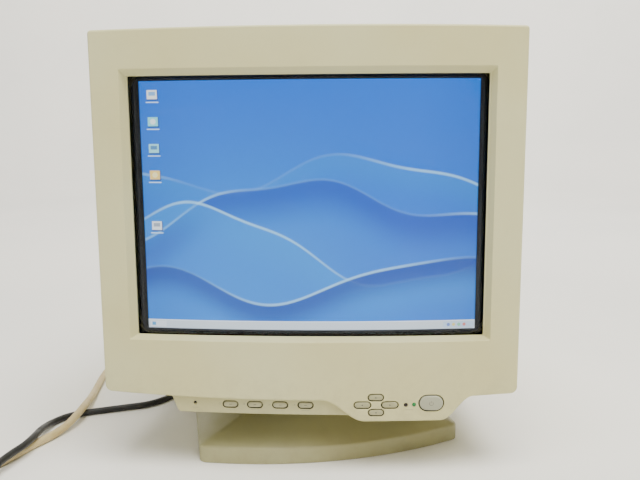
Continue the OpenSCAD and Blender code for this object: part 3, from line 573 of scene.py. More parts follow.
def barrel(stations, place, n=6):
    """A body of rounded sections: each station is (distance, width, height, corner radius)."""
    return solid([[place(t, u, v) for u, v in rounded(w, h, min(r, w / 2 - 0.01, h / 2 - 0.01), n)]
                  for t, w, h, r in stations])


def soft(t0, t1, w, h, r, edge, n=3):
    """Stations of a body from t0 to t1 with its end edges rounded by edge."""
    out = []
    for k in range(n + 1):
        a = math.pi / 2 * k / n
        d = edge * (1 - math.sin(a))
        out.append((t0 + edge * (1 - math.cos(a)), w - 2 * d, h - 2 * d, max(r - d, 0.4)))
    return out + [(t0 + t1 - t, w1, h1, r1) for t, w1, h1, r1 in out[::-1]]


def relief(t0, t1, d0, d1, ribs):
    """Stations of a tapered strain relief with grooves round it."""
    out = [(t0, d0 - 1.0, d0 - 1.0, d0 / 2), (t0 + 0.5, d0, d0, d0 / 2)]
    length = t1 - t0
    for k in range(ribs):
        a = t0 + length * (k + 0.55) / (ribs + 0.6)
        for dt, cut in ((-0.85, 0), (-0.5, 0.75), (0.5, 0.75), (0.85, 0)):
            t = a + dt
            d = d0 + (d1 - d0) * (t - t0) / length - 2 * cut * 0.75
            out.append((t, d, d, d / 2))
    return out + [(t1 - 0.5, d1, d1, d1 / 2), (t1, d1 - 0.9, d1 - 0.9, d1 / 2)]


BLACK_VINYL = rubbery("black_vinyl", rgb(15, 16, 18), rgb(28, 29, 31), 0.5)
BEIGE_VINYL = rubbery("beige_vinyl", rgb(198, 180, 134), rgb(184, 160, 106), 0.5)
PLATED = metal("plated_steel", rgb(205, 205, 200), 0.24)
BRASS = metal("plated_brass", rgb(214, 190, 130), 0.22)
BLACK_MOULD = plastic("black_moulding", rgb(30, 31, 33), rgb(44, 43, 42), 0.42, 1.2, 0.4)


def power_plug(at):
    """Two-blade plug pointing to -X, in millimetres from its cable's end."""
    x, y, z = at
    place = lambda t, u, v: (x - t, y + u, z + v)
    body = barrel(soft(11.2, 38, 24, 20, 6.5, 2.6), place)
    neck = barrel(relief(-13.5, 12.5, 10.0, 15.4, 6), place)
    grips = [barrel(soft(16 + 4.2 * k, 18 + 4.2 * k, 24.9, 12, 5.5, 0.8, 2), place) for k in range(4)]
    shell = piece("mains_plug_body", merge(body, neck, *grips), "swivel", "black_plastic", BLACK_MOULD, 40,
                  ["mains_plug"])
    blade = [(36, 1.5, 6.3, 0.3), (52.5, 1.5, 6.3, 0.3), (54.2, 1.2, 5.2, 0.3), (54.9, 0.7, 3.9, 0.2)]
    blades = [barrel(blade, lambda t, u, v: place(t, side + u, v), 3) for side in (-6.35, 6.35)]
    return [shell, piece("mains_plug_blades", merge(*blades), "swivel", "steel", BRASS, 30)]


def signal_plug(at):
    """Screened video plug pointing to +Y, with its shell and pins."""
    x, y, z = at
    place = lambda t, u, v: (x + u, y + t, z + v)
    hood = barrel([(11, 9.5, 9.5, 4.4), (11.6, 12.5, 11.8, 4.6), (13.4, 16.2, 14.6, 4.6), (16.5, 17.2, 15.6, 4.4),
                   (36.5, 17.4, 15.8, 4.2), (38.2, 26.5, 14.6, 4.0), (39.4, 30.2, 14.2, 3.2),
                   (40.2, 30.9, 14.1, 2.6), (45.2, 30.9, 14.1, 2.6), (45.9, 30.2, 13.4, 2.4)], place)
    neck = barrel(relief(-18, 12.4, 10.6, 14.0, 7), place)
    grips = [barrel(soft(19 + 3.4 * k, 20.7 + 3.4 * k, 18.2, 9.5, 3.5, 0.6, 2), place) for k in range(5)]
    shell = piece("video_plug_hood", merge(hood, neck, *grips), "swivel", "cable_jacket", BEIGE_VINYL, 40,
                  ["video_plug"])
    skirt = [(45.6, 0.0), (51.6, 0.0), (51.9, -0.25), (51.9, -0.9), (48.4, -0.9)]
    metalwork = piece("video_plug_shell", solid([[place(t, u, v) for u, v in outset(rounded(16.2, 7.9, 2.6, 5), d)]
                                                 for t, d in skirt]), "swivel", "steel", PLATED, 30)
    face = barrel([(47, 14.2, 5.9, 1.8), (48.8, 14.2, 5.9, 1.8)], place)
    insulator = piece("video_plug_insulator", face, "swivel", "black_plastic", BLACK_MOULD, 30)
    pin = [(48.6, 0.38), (51.0, 0.38), (51.3, 0.2)]
    pins = [solid(turned(pin, (x + (k - 2) * 2.29 + shift, y, z + row), "Y", 10))
            for row, shift in ((1.9, 0), (0.0, 0.6), (-1.9, 0)) for k in range(5)]
    contacts = piece("video_plug_contacts", merge(*pins), "swivel", "steel", BRASS, 40)
    knob = [(24, 2.4), (24.4, 2.9), (25.5, 2.9), (26, 2.6), (35.4, 2.6), (36, 2.9), (37.2, 2.9), (37.7, 2.4)]
    thread = [(46.0 + 0.35 * j, 1.4 if j % 2 else 1.12) for j in range(16)] + [(51.8, 0.8)]
    screws = []
    for u in (x - 12.5, x + 12.5):
        rows = turned(knob, (u, y, z), "Y", 40)
        for row in rows[2:6]:
            for k, (px, py, pz) in enumerate(row):
                f = 0.9 if k % 2 else 1.0
                row[k] = (u + (px - u) * f, py, z + (pz - z) * f)
        screws += [solid(rows), solid(turned(thread, (u, y, z), "Y", 20)),
                   solid(turned([(37, 1.5), (40.5, 1.5)], (u, y, z), "Y", 20))]
    thumbs = piece("video_plug_thumb_screws", merge(*screws), "swivel", "steel", PLATED, 30, ["thumb_screws"])
    return [shell, metalwork, insulator, contacts, thumbs]


def tie_band(name, centre, coil_r, strands, strand_r, angle, material):
    """A flat band drawn round the strands of a coil, with its twisted ends on top."""
    a = math.radians(angle)
    out, along = Vector((math.cos(a), math.sin(a))), Vector((-math.sin(a), math.cos(a)))
    hull = []
    for k in range(64):
        d = Vector((math.cos(TAU * k / 64), math.sin(TAU * k / 64)))
        hull.append((Vector(max(strands, key=lambda s: s[0] * d.x + s[1] * d.y)), d))

    def place(u, v, w):
        q = Vector(centre) + out * (coil_r + u) + along * w
        return (q.x, q.y, max(v, 0.15))

    def loop(r, w):
        return [place(c.x + r * d.x, c.y + r * d.y, w) for c, d in hull]
    inner, outer = strand_r + 0.05, strand_r + 0.75
    half = ((inner, -3.2), (outer - 0.15, -3.4), (outer, -3.1))
    band = ring([loop(r, w) for r, w in half] + [loop(r, -w) for r, w in half[::-1]])
    top = max(c.y for c, _ in hull) + outer
    mid = sum(c.x for c, _ in hull) / len(hull)
    tails = []
    for side in (-1, 1):
        line = spline([(mid, 0, top - 0.6), (mid + 1.5 * side, 1 * side, top + 0.5),
                       (mid + 5 * side, 2.4 * side, top + 0.3), (mid + 8 * side, 4.5 * side, top - 1.6)], 1.0)
        rows = []
        for p, (_, s, w) in zip(line, sweep_frames(line)):
            corners = [p + s * i * 1.3 + w * j * 0.3 for i, j in ((-1, -1), (1, -1), (1, 1), (-1, 1))]
            rows.append([place(q.x, q.z, q.y) for q in corners])
        tails.append(solid(rows))
    return piece(name, merge(band, *tails), "swivel", "black_rubber", material, 35)


def strand_places(lean, turn, spacing, height, t, count):
    """Where the turns of a bundle cross its section at turn t: (outward, height)."""
    angles = [math.radians(lean - turn * (t + k)) for k in range(math.floor(count - t) + 1)]
    return [(spacing * math.cos(b), height + spacing * math.sin(b)) for b in angles]


# Each coil: its middle, radius and height, how far its strands lie from the bundle's middle, the angle where
# it starts, its turns, and how the strands lean and turn round each other
CORD_BUNDLE = (CORD_COIL, 41, 9.4, 5.3, 0, 3.25, -45, 90)
CABLE_BUNDLE = (CABLE_COIL, 46, 9.6, 5.1, -90, 2.25, -50, 120)


def tie_on(name, coil, d, seam, angle):
    """The tie of a coil at an angle, seam degrees of the coil from its start."""
    centre, r, height, spacing, _, count, lean, turn = coil
    strands = strand_places(lean, turn, spacing, height, seam / 360, count)
    return tie_band(name, centre, r, strands, d / 2, angle, BLACK_VINYL)


def make_cords():
    plug = power_plug(CORD_TAIL[-1])
    socket = signal_plug(CABLE_TAIL[-1])
    cord_tie = tie_on("power_cord_tie", CORD_BUNDLE, CORD_D, 20, -20)
    cable_tie = tie_on("video_cable_tie", CABLE_BUNDLE, CABLE_D, 18, -108)
    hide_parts("coil_ties")
    lay_cord("power_cord_tube", CORD_ROUTE[:-1] + bundle(*CORD_BUNDLE) + CORD_TAIL[1:], CORD_D,
             "black_rubber", BLACK_VINYL, ["power_cord", "power_cord_coil"])
    lay_cord("video_cable_tube", CABLE_ROUTE[:-1] + bundle(*CABLE_BUNDLE) + CABLE_TAIL[1:], CABLE_D,
             "cable_jacket", BEIGE_VINYL, ["video_cable", "video_cable_coil"])


# ---------------------------------------------------------------- cabinet front

FACE_Y, FACE_R, SEAM_Y, HALF_W = -148.0, 1681.0, -96.0, 203.0
TUBE_Z = 260.2
WALL = 3.0


def lower_edge(x):
    """Height of the face's lower edge at x."""
    return 79.2 - 4.4 * (1 - (x / HALF_W) ** 2)


def upper_edge(x):
    """Height of the face's upper edge at x."""
    return 427 + 1.5 * (1 - (x / HALF_W) ** 2)


def face_at(x, depth=0.0):
    """How far back the bowed face lies at x, with depth behind it."""
    return FACE_Y + FACE_R - math.sqrt(FACE_R ** 2 - x * x) + depth


def s_curve(p, q):
    """A curve from p to q that starts and ends level."""
    n = 16
    return [(p[0] + (q[0] - p[0]) * k / n, p[1] + (q[1] - p[1]) * (1 - math.cos(math.pi * k / n)) / 2)
            for k in range(n + 1)]


def wedge(y):
    """Height of the chin's rising underside at y."""
    if y < -128:
        return 40.0
    if y < -124:
        return 40 + (y + 128) * 2.5
    return 50 + (y + 124) * 27 / 25


def lower_run(x0, x1):
    """Points on the lower edge about 6 mm apart."""
    n = max(1, round(abs(x1 - x0) / 6))
    return [(x0 + (x1 - x0) * k / n, lower_edge(x0 + (x1 - x0) * k / n)) for k in range(n + 1)]


def face_outline():
    """Outline of the front face with the pod hanging from it, anticlockwise from the lower left corner."""
    r0, r1 = 6.5, 3.4   # the lower and the upper corners' radius
    bw, tw = HALF_W - r0, HALF_W - r1
    z0, z1 = lower_edge(bw) + r0, upper_edge(tw) - r1
    pod = s_curve((12, lower_edge(12)), (54, 53.4))[1:]
    pod += [(54 + 74 * k / 12, 53.4 + 0.2 * k / 12) for k in range(1, 12)]
    pod += s_curve((128, 53.6), (160, lower_edge(160)))
    side = [(HALF_W, z0 + (z1 - z0) * k / 40) for k in range(1, 40)]
    top = [(tw - 2 * tw * k / 60, upper_edge(tw - 2 * tw * k / 60)) for k in range(1, 60)]
    left = [(-x, z) for x, z in side[::-1]]
    return (lower_run(-bw, 12)[1:] + pod[:-1] + [(160, lower_edge(160))] + lower_run(160, bw)[1:-1]
            + arc((bw, z0), r0, -88, 0, 7) + side + arc((tw, z1), r1, 0, 88, 6) + top
            + arc((-tw, z1), r1, 92, 180, 6) + left + arc((-bw, z0), r0, 180, 268, 7))


def stadium(at, w, h, n):
    """Outline with half-round ends, anticlockwise."""
    r = h / 2
    x, z = at
    return arc((x + w / 2 - r, z), r, -90, 90, n) + arc((x - w / 2 + r, z), r, 90, 270, n)


def circle(at, r, n=24):
    return [(at[0] + r * math.cos(TAU * k / n), at[1] + r * math.sin(TAU * k / n)) for k in range(n)]


def on_face(loop, depth):
    return [(x, face_at(x, depth), z) for x, z in loop]


FUNCTION_X = (-77.3, -53.1, -28.3, -3.4)
FUNCTION_Z = 68.8
FUNCTION_SIZE = (13.8, 5.7)
ARROWS = {"up": (64.9, 78), "down": (65.1, 62.8), "left": (51.9, 70.4), "right": (78.5, 70.4)}
UPRIGHT_SIZE = (14.0, 5.8)
SIDEWAYS_SIZE = (15.4, 5.8)
POWER_AT, POWER_SIZE = (118.7, 71.8), (23.0, 14.8)
RESET_AT, RESET_D = (-112.4, 69.6), 2.6
POWER_LAMP_AT, STANDBY_LAMP_AT, LAMP_D = (102, 70.6), (94, 70.4), 3.7
GAP = 0.95   # from a button to the wall of its opening
STRIP_DEPTH = 4.0   # how far the function buttons' strip lies behind the face


def arrow_size(name):
    return UPRIGHT_SIZE if name in ("up", "down") else SIDEWAYS_SIZE


def opening(loop, edge, base):
    """An opening through the face with a rounded edge: its outline on the face, and its walls."""
    rows = [on_face(outset(loop, out), base + down) for out, down in quarter(edge, 3)]
    return outset(loop, edge), bridge(rows + [on_face(loop, base + WALL)])


def swept_back(loop, edge, base, top_of, stop, rise):
    """Rows from the rounded front edge to stop; each column follows the chin's rising underside."""
    rows = [on_face(outset(loop, -d), base + down) for d, down in quarter(edge, 5)]
    edge_row = rows[-1]
    for part in (0, 1):
        for k in range(1, 7):
            row = []
            for x, y0, z in edge_row:
                limit = top_of(x)
                low = z < limit - 0.01
                if low:
                    meet = min(stop, max(y0 + 0.5, -124 + (z - rise - 50) * 25 / 27))
                    clear = min(stop - 0.1, -124 + (limit - rise - 50) * 25 / 27)
                else:
                    meet, clear = y0 + (stop - y0) * 0.55, stop - 0.1
                if part == 0:
                    row.append((x, y0 + (meet - y0) * k / 6, z))
                else:
                    y = meet + (clear - meet) * k / 6
                    row.append((x, y, max(z, min(limit, wedge(y) + rise)) if low else z))
            rows.append(row)
    return rows + [[(x, stop, z) for x, _, z in edge_row]]


def swept_forward(loop, base, rear, top_of, rise):
    """Rows of the inner wall, from the rear to the back of the face."""
    rows = []
    for k in range(7):
        row = []
        for x, z in loop:
            y = rear + (face_at(x, base + WALL) - rear) * k / 6
            limit = top_of(x)
            row.append((x, y, min(max(z, wedge(y) + rise), limit) if z < limit - 0.01 else z))
        rows.append(row)
    return rows


# The window's sloping surround: left, right, bottom and top of its outer and its inner edge
SURROUND_OUT = (-174.6, 174.55, 133.45, 391.15)
SURROUND_IN = (-168.7, 169.15, 136.25, 385.35)


def dense_window(loop):
    """The same number of added points along each of the four long sides of the window."""
    out = []
    for a, b in zip(loop, loop[1:] + loop[:1]):
        parts = 40 if math.dist(a, b) > 100 else 1
        out += [(a[0] + (b[0] - a[0]) * j / parts, a[1] + (b[1] - a[1]) * j / parts) for j in range(parts)]
    return out


def window_loop(t, grow, corner):
    """The surround's outline at t from its outer edge, 0, to its inner edge, 1, moved outward by grow."""
    x0, x1, z0, z1 = (a + (b - a) * t for a, b in zip(SURROUND_OUT, SURROUND_IN))
    middle = ((x0 + x1) / 2, (z0 + z1) / 2)
    return dense_window(rounded(x1 - x0 + 2 * grow, z1 - z0 + 2 * grow, corner, 4, middle))


def window_rows():
    """Rows round the window, from the face down the sloping surround to its flat lip, and back behind it."""
    profile = [(0, 0.8, 0.0, 1.8), (0, 0.45, 0.05, 1.6), (0, 0.15, 0.2, 1.4), (0, 0.0, 0.42, 1.3),
               (0.05, 0, 0.8, 1.2), (0.80, 0, 8.2, 1.2), (0.83, 0, 8.42, 1.2), (0.92, 0, 8.5, 1.2),
               (0.975, 0, 8.62, 1.2), (1, 0, 9.0, 1.2), (1, 0, 11.0, 1.2)]
    rows = [on_face(window_loop(t, grow, corner), depth) for t, grow, depth, corner in profile]
    behind = window_loop(0, 2.4, 3.0)
    rows += [on_face(window_loop(1, 2.0, 3.0), 11.0), on_face(behind, WALL)]
    return window_loop(0, 0.8, 1.8), rows, behind


def slot_outline(at, size, n=10):
    """Outline of the opening round a button."""
    w, h = size
    return stadium(at, w + 2 * GAP, h + 2 * GAP, n)


def face_openings():
    """Outline and edge radius of each opening in the pod."""
    cuts = [(slot_outline(at, arrow_size(name)), 0.45) for name, at in ARROWS.items()]
    cuts.append((slot_outline(POWER_AT, POWER_SIZE, 18), 0.6))
    return cuts + [(circle(at, LAMP_D / 2 + 0.15), 0.3) for at in (POWER_LAMP_AT, STANDBY_LAMP_AT)]


def faced(cuts, base, holes, back_holes, loop, edge, inner, steps):
    """Openings, front sheet and back sheet of a wall whose face lies at the depth base."""
    parts = []
    for cut, r in cuts:
        face_loop, walls = opening(cut, r, base)
        holes, back_holes = holes + [face_loop], back_holes + [cut]
        parts.append(walls)
    parts.append(fill(outset(loop, -edge), holes, steps[0], lambda x, z: (x, face_at(x, base), z)))
    parts.append(fill(inner, back_holes, steps[1], lambda x, z: (x, face_at(x, base + WALL), z)))
    return parts


def make_bezel(material):
    loop = face_outline()
    edge = 2.2
    window_face, window, window_back = window_rows()
    inner = outset(loop, -WALL)
    parts = [bridge(window)]
    parts += faced(face_openings(), 0.0, [window_face], [window_back], loop, edge, inner, (11.0, 16.0))
    outer = swept_back(loop, edge, 0.0, lower_edge, SEAM_Y - 0.5, 0.0)
    rim = [(x, SEAM_Y, max(z, lower_edge(x) + 0.5)) for x, z in outset(loop, -0.5)]
    inside_wall = swept_forward(inner, 0.0, SEAM_Y, lambda x: lower_edge(x) + WALL, WALL)
    parts.append(bridge(outer + [rim] + inside_wall))
    piece("bezel", merge(*parts), "cabinet", "cabinet_plastic", material, 34, ["front_bezel"], weld=2e-6)


def strip_top(x):
    return lower_edge(x) + 1.8


def strip_outline():
    """Outline of the recessed control strip, anticlockwise, with its top edge inside the cabinet's wall."""
    left = lambda z: -136.4 - (z - 77) * 0.42
    foot = [(-131.6, 64.8), (-129.9, 61.3), (-129.2, 60.5), (-128.2, 59.85), (-126.8, 59.6)]
    run = [(-126.8 + 186.8 * k / 40, 59.6 - k / 40) for k in range(1, 41)]
    up = [(60, 63 + k * (strip_top(60) - 63) / 4) for k in range(5)]
    back = [(60 - 197.5 * k / 40, strip_top(60 - 197.5 * k / 40)) for k in range(1, 40)]
    x1 = left(strip_top(-137.5))
    return foot + run + up + back + [(x1, strip_top(x1))] + [(left(z), z) for z in (76, 72, 68)]


def make_strip(material):
    """The recessed part of the chin with the function buttons' openings."""
    loop = strip_outline()
    edge, wall = 1.3, 2.6
    cuts = [(slot_outline((x, FUNCTION_Z), FUNCTION_SIZE), 0.45) for x in FUNCTION_X]
    cuts.append((circle(RESET_AT, RESET_D / 2 + 0.4), 0.35))
    inner = outset(loop, -wall)
    parts = faced(cuts, STRIP_DEPTH, [], [], loop, edge, inner, (9.0, 14.0))
    outer = swept_back(loop, edge, STRIP_DEPTH, strip_top, -100.0, 0.12)
    inside_wall = swept_forward(inner, STRIP_DEPTH, -102.5, lambda x: strip_top(x) - 0.4, wall)
    parts.append(bridge(outer + inside_wall))
    piece("control_strip", merge(*parts), "cabinet", "cabinet_plastic", material, 34, weld=2e-6)


# ---------------------------------------------------------------- rear cover

COVER_FRONT, COVER_REAR = -95.6, 279.5
# Depth, width, height, middle height and corner radius
COVER_SECTIONS = ((-95.6, 398, 348, 251, 8), (30, 380, 334, 243, 16), (279.5, 260, 248, 228, 26))
WELLS = [(x, z) for x in (-150, 150) for z in (407, 96)]
INLET_AT, GLAND_AT = (-40, 146), (-105, 160)
VENT_Y, VENT_PITCH, VENTS = 62.5, 12, 13


def straight_section(y):
    (y0, *a), (y1, *b) = COVER_SECTIONS[:2] if y < 30 else COVER_SECTIONS[1:]
    t = (y - y0) / (y1 - y0)
    return [p + (q - p) * t for p, q in zip(a, b)]


def cover_section(y):
    """Width, height, middle height and corner radius at y, with the change of slope rounded over."""
    if abs(y - 30) > 18:
        return straight_section(y)
    some = [straight_section(y + 18 * (k / 6 - 1) * (1 - abs(y - 30) / 18)) for k in range(13)]
    return [sum(v) / len(v) for v in zip(*some)]


def cover_loop(y, inset):
    w, h, z, r = cover_section(y)
    return [(x, y, zz) for x, zz in rounded(w - 2 * inset, h - 2 * inset, max(r - inset, 2.5), 9, (0, z))]


def cover_body(inset, front, rear, edge):
    """The cover's outer body, or its hollow, whose wall is inset."""
    if inset:
        rows = [[(x, -101, z) for x, _, z in cover_loop(front, inset)]]
    else:
        w, h, z, r = cover_section(front)
        rows = [[(x, front + down, zz) for x, zz in rounded(w - 2 * d, h - 2 * d, r, 9, (0, z))]
                for d, down in quarter(0.8, 3)]
    ys = [-90 if inset else -80, -55, -30, -10] + [12 + 4 * k for k in range(10)] + [60 + 20 * k for k in range(11)]
    rows += [cover_loop(y, inset) for y in ys if front + 1 < y < rear - edge]
    for k in range(7):
        a = math.pi / 2 * k / 6
        y = rear - edge + edge * math.sin(a)
        w, h, z, r = cover_section(min(y, 279.5))
        d = inset + edge * (1 - math.cos(a))
        rows.append([(x, y, zz) for x, zz in rounded(w - 2 * d, h - 2 * d, max(r - d, 3), 9, (0, z))])
    return solid(rows)


def rod(x, z, r, y0, y1, n=40):
    return solid(turned([(0, r), (y1 - y0, r)], (x, y0, z), "Y", n))


def vent_cutter(x, y):
    """A slot with round ends and a rounded rim, leaning with the cover's sloping top."""
    slope = (352 - 410) / 249.5
    top = 410 + slope * (y - 30)
    rim = ((0, -14), (0, -0.75), (0.1, -0.45), (0.28, -0.2), (0.55, -0.03), (0.75, 0.0), (0.9, 3.0))
    return solid([[(u, y + v, top + slope * v + level) for u, v in stadium((x, 0), 72 + 2 * grow, 5 + 2 * grow, 8)]
                  for grow, level in rim])


def skirt():
    """The collar under the cover that the ball-shaped dome comes out of, cut flat at the seam."""
    profile = [(108, 79), (108, 74.5), (108.5, 74), (122.8, 74), (123.6, 74.3), (124, 75.1), (124, 97),
               (121, 97), (121, 79)]
    n = 120
    rows = []
    for r, z in profile:
        a0 = -math.asin(95.6 / r)
        rows.append([(r * math.cos(a), r * math.sin(a), z)
                     for a in (a0 + (math.pi - 2 * a0) * k / n for k in range(n + 1))])
    verts, faces = bridge(rows + [rows[0]], closed=False)
    return verts, faces + [[j * (n + 1) + k for j in range(len(profile))] for k in (0, n)]


def make_cover(material):
    """The cover is cut out of its outer body; the collar is joined to it."""
    outer = raw("rear_cover_shell", *cover_body(0, COVER_FRONT, COVER_REAR, 6.5))
    hollow = raw("hollow", *cover_body(WALL, COVER_FRONT, COVER_REAR - WALL, 4.0))
    posts = merge(*[rod(x, z, 7.5, -120, 169) for x, z in WELLS])
    hollow = boolean(hollow, raw("wells", *posts), "DIFFERENCE")
    shell = boolean(outer, hollow, "DIFFERENCE")
    cuts = [vent_cutter(side * 48, VENT_Y + VENT_PITCH * k) for side in (-1, 1) for k in range(VENTS)]
    cuts.append(solid(turned([(0, 118), (45, 118)], (0, 0, 56), "Z", 96)))
    cuts.append(solid([[(x, y, z) for x, z in rounded(31, 23, 2, 4, INLET_AT)] for y in (265, 290)]))
    cuts.append(rod(*GLAND_AT, 7.2, 265, 290))
    for x, z in WELLS:
        cuts += [rod(x, z, 6, -84, 171), rod(x, z, 2.2, -98, -82, 20)]
    shell = boolean(shell, raw("cuts", *merge(*cuts)), "DIFFERENCE")
    collar = raw("collar", *skirt())
    bm = bmesh.new()
    bm.from_mesh(shell.data)
    bm.from_mesh(collar.data)
    bmesh.ops.recalc_face_normals(bm, faces=bm.faces)
    bm.to_mesh(shell.data)
    bm.free()
    bpy.data.objects.remove(collar)
    dress(shell, "cabinet", "cabinet_plastic", material, 32, ["rear_cover"])


# ---------------------------------------------------------------- stand

STAND_TURN = math.radians(13.2)
RING_R, RING_Z = 85.5, 43.0   # the rim of the dish's opening


def stand_outline():
    """Outline of the stand seen from above, anticlockwise, before it is turned."""
    reach = 132.5   # where the bowed front and rear edges meet the rounded corners
    middle, r = 129.5, 9   # the corners' centre across, and their radius
    front = lambda x: 23 * (x / middle) ** 2 - 123
    rear = lambda x: 117 - 23 * (x / middle) ** 2
    n = 44
    loop = [(reach * (2 * k / n - 1), front(reach * (2 * k / n - 1))) for k in range(n + 1)]
    lift = r * math.cos(math.radians(20))
    right = arc((middle, front(reach) + lift), r, -70, 0, 6)[1:]
    right_rear = arc((middle, rear(reach) - lift), r, 0, 70, 6)
    m = 16
    side = [(middle + r, right[-1][1] + (right_rear[0][1] - right[-1][1]) * k / m) for k in range(1, m)]
    back = [(reach * (1 - 2 * k / n), rear(reach * (1 - 2 * k / n))) for k in range(1, n + 1)]
    loop += right + side + right_rear[:-1] + back[:-1]
    return loop + [(-x, y) for part in (right_rear, side, right) for x, y in part[::-1]]


def turned_stand(loop, z):
    c, s = math.cos(STAND_TURN), math.sin(STAND_TURN)
    return [(x * c - y * s, x * s + y * c, z) for x, y in loop]


def ring_under(loop, r):
    """The points of a circle that lie in the same directions as the outline's."""
    return [(r * x / math.hypot(x, y), r * y / math.hypot(x, y)) for x, y in loop]


def between(loop_a, loop_b, t):
    return [(a[0] + (b[0] - a[0]) * t, a[1] + (b[1] - a[1]) * t) for a, b in zip(loop_a, loop_b)]


def make_stand(material):
    """The stand's shell: upright edge, top rising to the dish's rim, and the inner wall."""
    loop = stand_outline()
    edge_top = 17.75
    rows = [turned_stand(outset(loop, -d), z) for d, z in
            ((2.5, 0.0), (0.9, 0.0), (0.35, 0.15), (0.1, 0.45), (0, 1.0), (0, 6), (0, 11), (0, 14.6),
             (0.12, 15.5), (0.5, 16.4), (1.15, 17.15), (2.1, edge_top))]
    foot, rim = outset(loop, -2.1), ring_under(loop, RING_R)
    for k in range(1, 19):
        t = k / 18
        rows.append(turned_stand(between(foot, rim, t), edge_top + (RING_Z - 0.9 - edge_top) * t))
    rows += [turned_stand(ring_under(loop, r), z) for r, z in
             ((85.1, 42.75), (84.6, 43.0), (83.6, 43.0), (83.1, 42.8), (82.8, 42.2), (82.8, 39))]
    rows += [turned_stand(between(ring_under(loop, 83), outset(loop, -2.9), t), 39 + (14.5 - 39) * t)
             for t in (0, 0.33, 0.66, 1)]
    rows.append(turned_stand(outset(loop, -2.5), 4))
    piece("stand_cover", ring(rows), "stand", "stand_plastic", material, 30, ["stand_shell"])


# ---------------------------------------------------------------- buttons and lamps

def cap(name, loop, at, proud, crown, edge, back, base, stem):
    """A button: a slightly crowned cap with rounded edges, and the stem behind it that meets its switch."""
    x, z = at
    y = face_at(x, base) - proud
    half, tall = max(abs(px - x) for px, _ in loop), max(abs(pz - z) for _, pz in loop)
    stem_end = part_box(name)[1].y / MM

    def crowned(points, extra):
        return [(px, y + extra + crown * (((px - x) / half) ** 2 * 0.45 + ((pz - z) / tall) ** 2 * 0.55), pz)
                for px, pz in points]

    def shrunk(points, f):
        return [(x + (px - x) * f, z + (pz - z) * f) for px, pz in points]
    rows = [crowned(shrunk(outset(loop, -edge), f), 0) for f in (0.18, 0.4, 0.62, 0.82, 1.0)]
    rows += [crowned(outset(loop, -d), down) for d, down in quarter(edge, 4)[1:]]
    inner = shrunk(loop, stem)
    rows += [[(px, depth, pz) for px, pz in points]
             for points, depth in ((loop, y + back), (inner, y + back), (inner, stem_end))]
    return solid(rows)


PRINT_THICK = 0.06   # how far a printed mark stands out


def printed(outline, at_depth, flat_at=None):
    """A mark printed on the bowed face, or on a button's flat cap whose middle is at flat_at."""
    return solid([[(x, face_at(x if flat_at is None else flat_at, at_depth) + d, z) for x, z in outline]
                  for d in (0.12, -PRINT_THICK)])


def open_ring(at, r, width, a, b):
    """Outline of an open ring from angle a to b."""
    return arc(at, r, a, b, 24) + arc(at, r - width, b, a, 24)


def printed_ring(at, r, width, depth):
    outer, inner = circle(at, r, 24), circle(at, r - width, 24)
    return ring([[(x, face_at(x, depth) + d, z) for x, z in loop]
                 for loop, d in ((outer, 0.05), (outer, -PRINT_THICK), (inner, -PRINT_THICK), (inner, 0.05))])


def bar(at, w, h, up=0.0):
    """Outline of a bar whose middle lies at a place, or that far above it."""
    x, z = at[0], at[1] + up
    return [(x - w / 2, z - h / 2), (x + w / 2, z - h / 2), (x + w / 2, z + h / 2), (x - w / 2, z + h / 2)]


def triangle(at, r, angle):
    return [(at[0] + r * math.cos(b), at[1] + r * math.sin(b))
            for b in (math.radians(angle + 120 * k) for k in range(3))]


SMALL_PROUD, POWER_PROUD = 0.1, 1.2   # how far the caps stand out of the face


def small_button(name, at, size, base, mark, cap_material, ink):
    """A small oblong button with a plain mark on its cap."""
    w, h = size
    shape = cap(name, stadium(at, w, h, 10), at, SMALL_PROUD, 0.35, 0.9, 5.2, base, 0.45)
    piece(name + "_cap", shape, name, "button_plastic", cap_material, 35, [name])
    piece(name + "_mark", printed(mark, base - SMALL_PROUD, at[0]), name, "button_plastic", ink, 30)


def make_buttons(small, large, black, ink):
    for k, x in enumerate(FUNCTION_X, 1):
        at = (x, FUNCTION_Z)
        small_button(f"function_button_{k}", at, FUNCTION_SIZE, STRIP_DEPTH, bar(at, 2.6, 0.55), small, ink)
    for way, at in ARROWS.items():
        mark = triangle(at, 1.15, {"right": 0, "up": 90, "left": 180, "down": 270}[way])
        small_button(way + "_button", at, arrow_size(way), 0.0, mark, small, ink)
    shape = cap("power_button", stadium(POWER_AT, *POWER_SIZE, 18), POWER_AT, POWER_PROUD, 0.6, 1.5, 8.0, 0.0, 0.5)
    piece("power_button_cap", shape, "power_button", "power_button_plastic", large, 35, ["power_button"])
    sign = merge(*(printed(mark, -POWER_PROUD, POWER_AT[0]) for mark in
                   (open_ring(POWER_AT, 2.1, 0.36, 125, 415), bar(POWER_AT, 0.36, 2.0, 1.5))))
    piece("power_button_sign", sign, "power_button", "power_button_plastic", ink, 30)
    shape = cap("reset_button", circle(RESET_AT, RESET_D / 2 - 0.45, 20), RESET_AT, -0.7, 0.15, 0.4, 2.5,
                STRIP_DEPTH, 0.7)
    piece("reset_button_cap", shape, "reset_button", "black_plastic", black, 35, ["reset_button"])


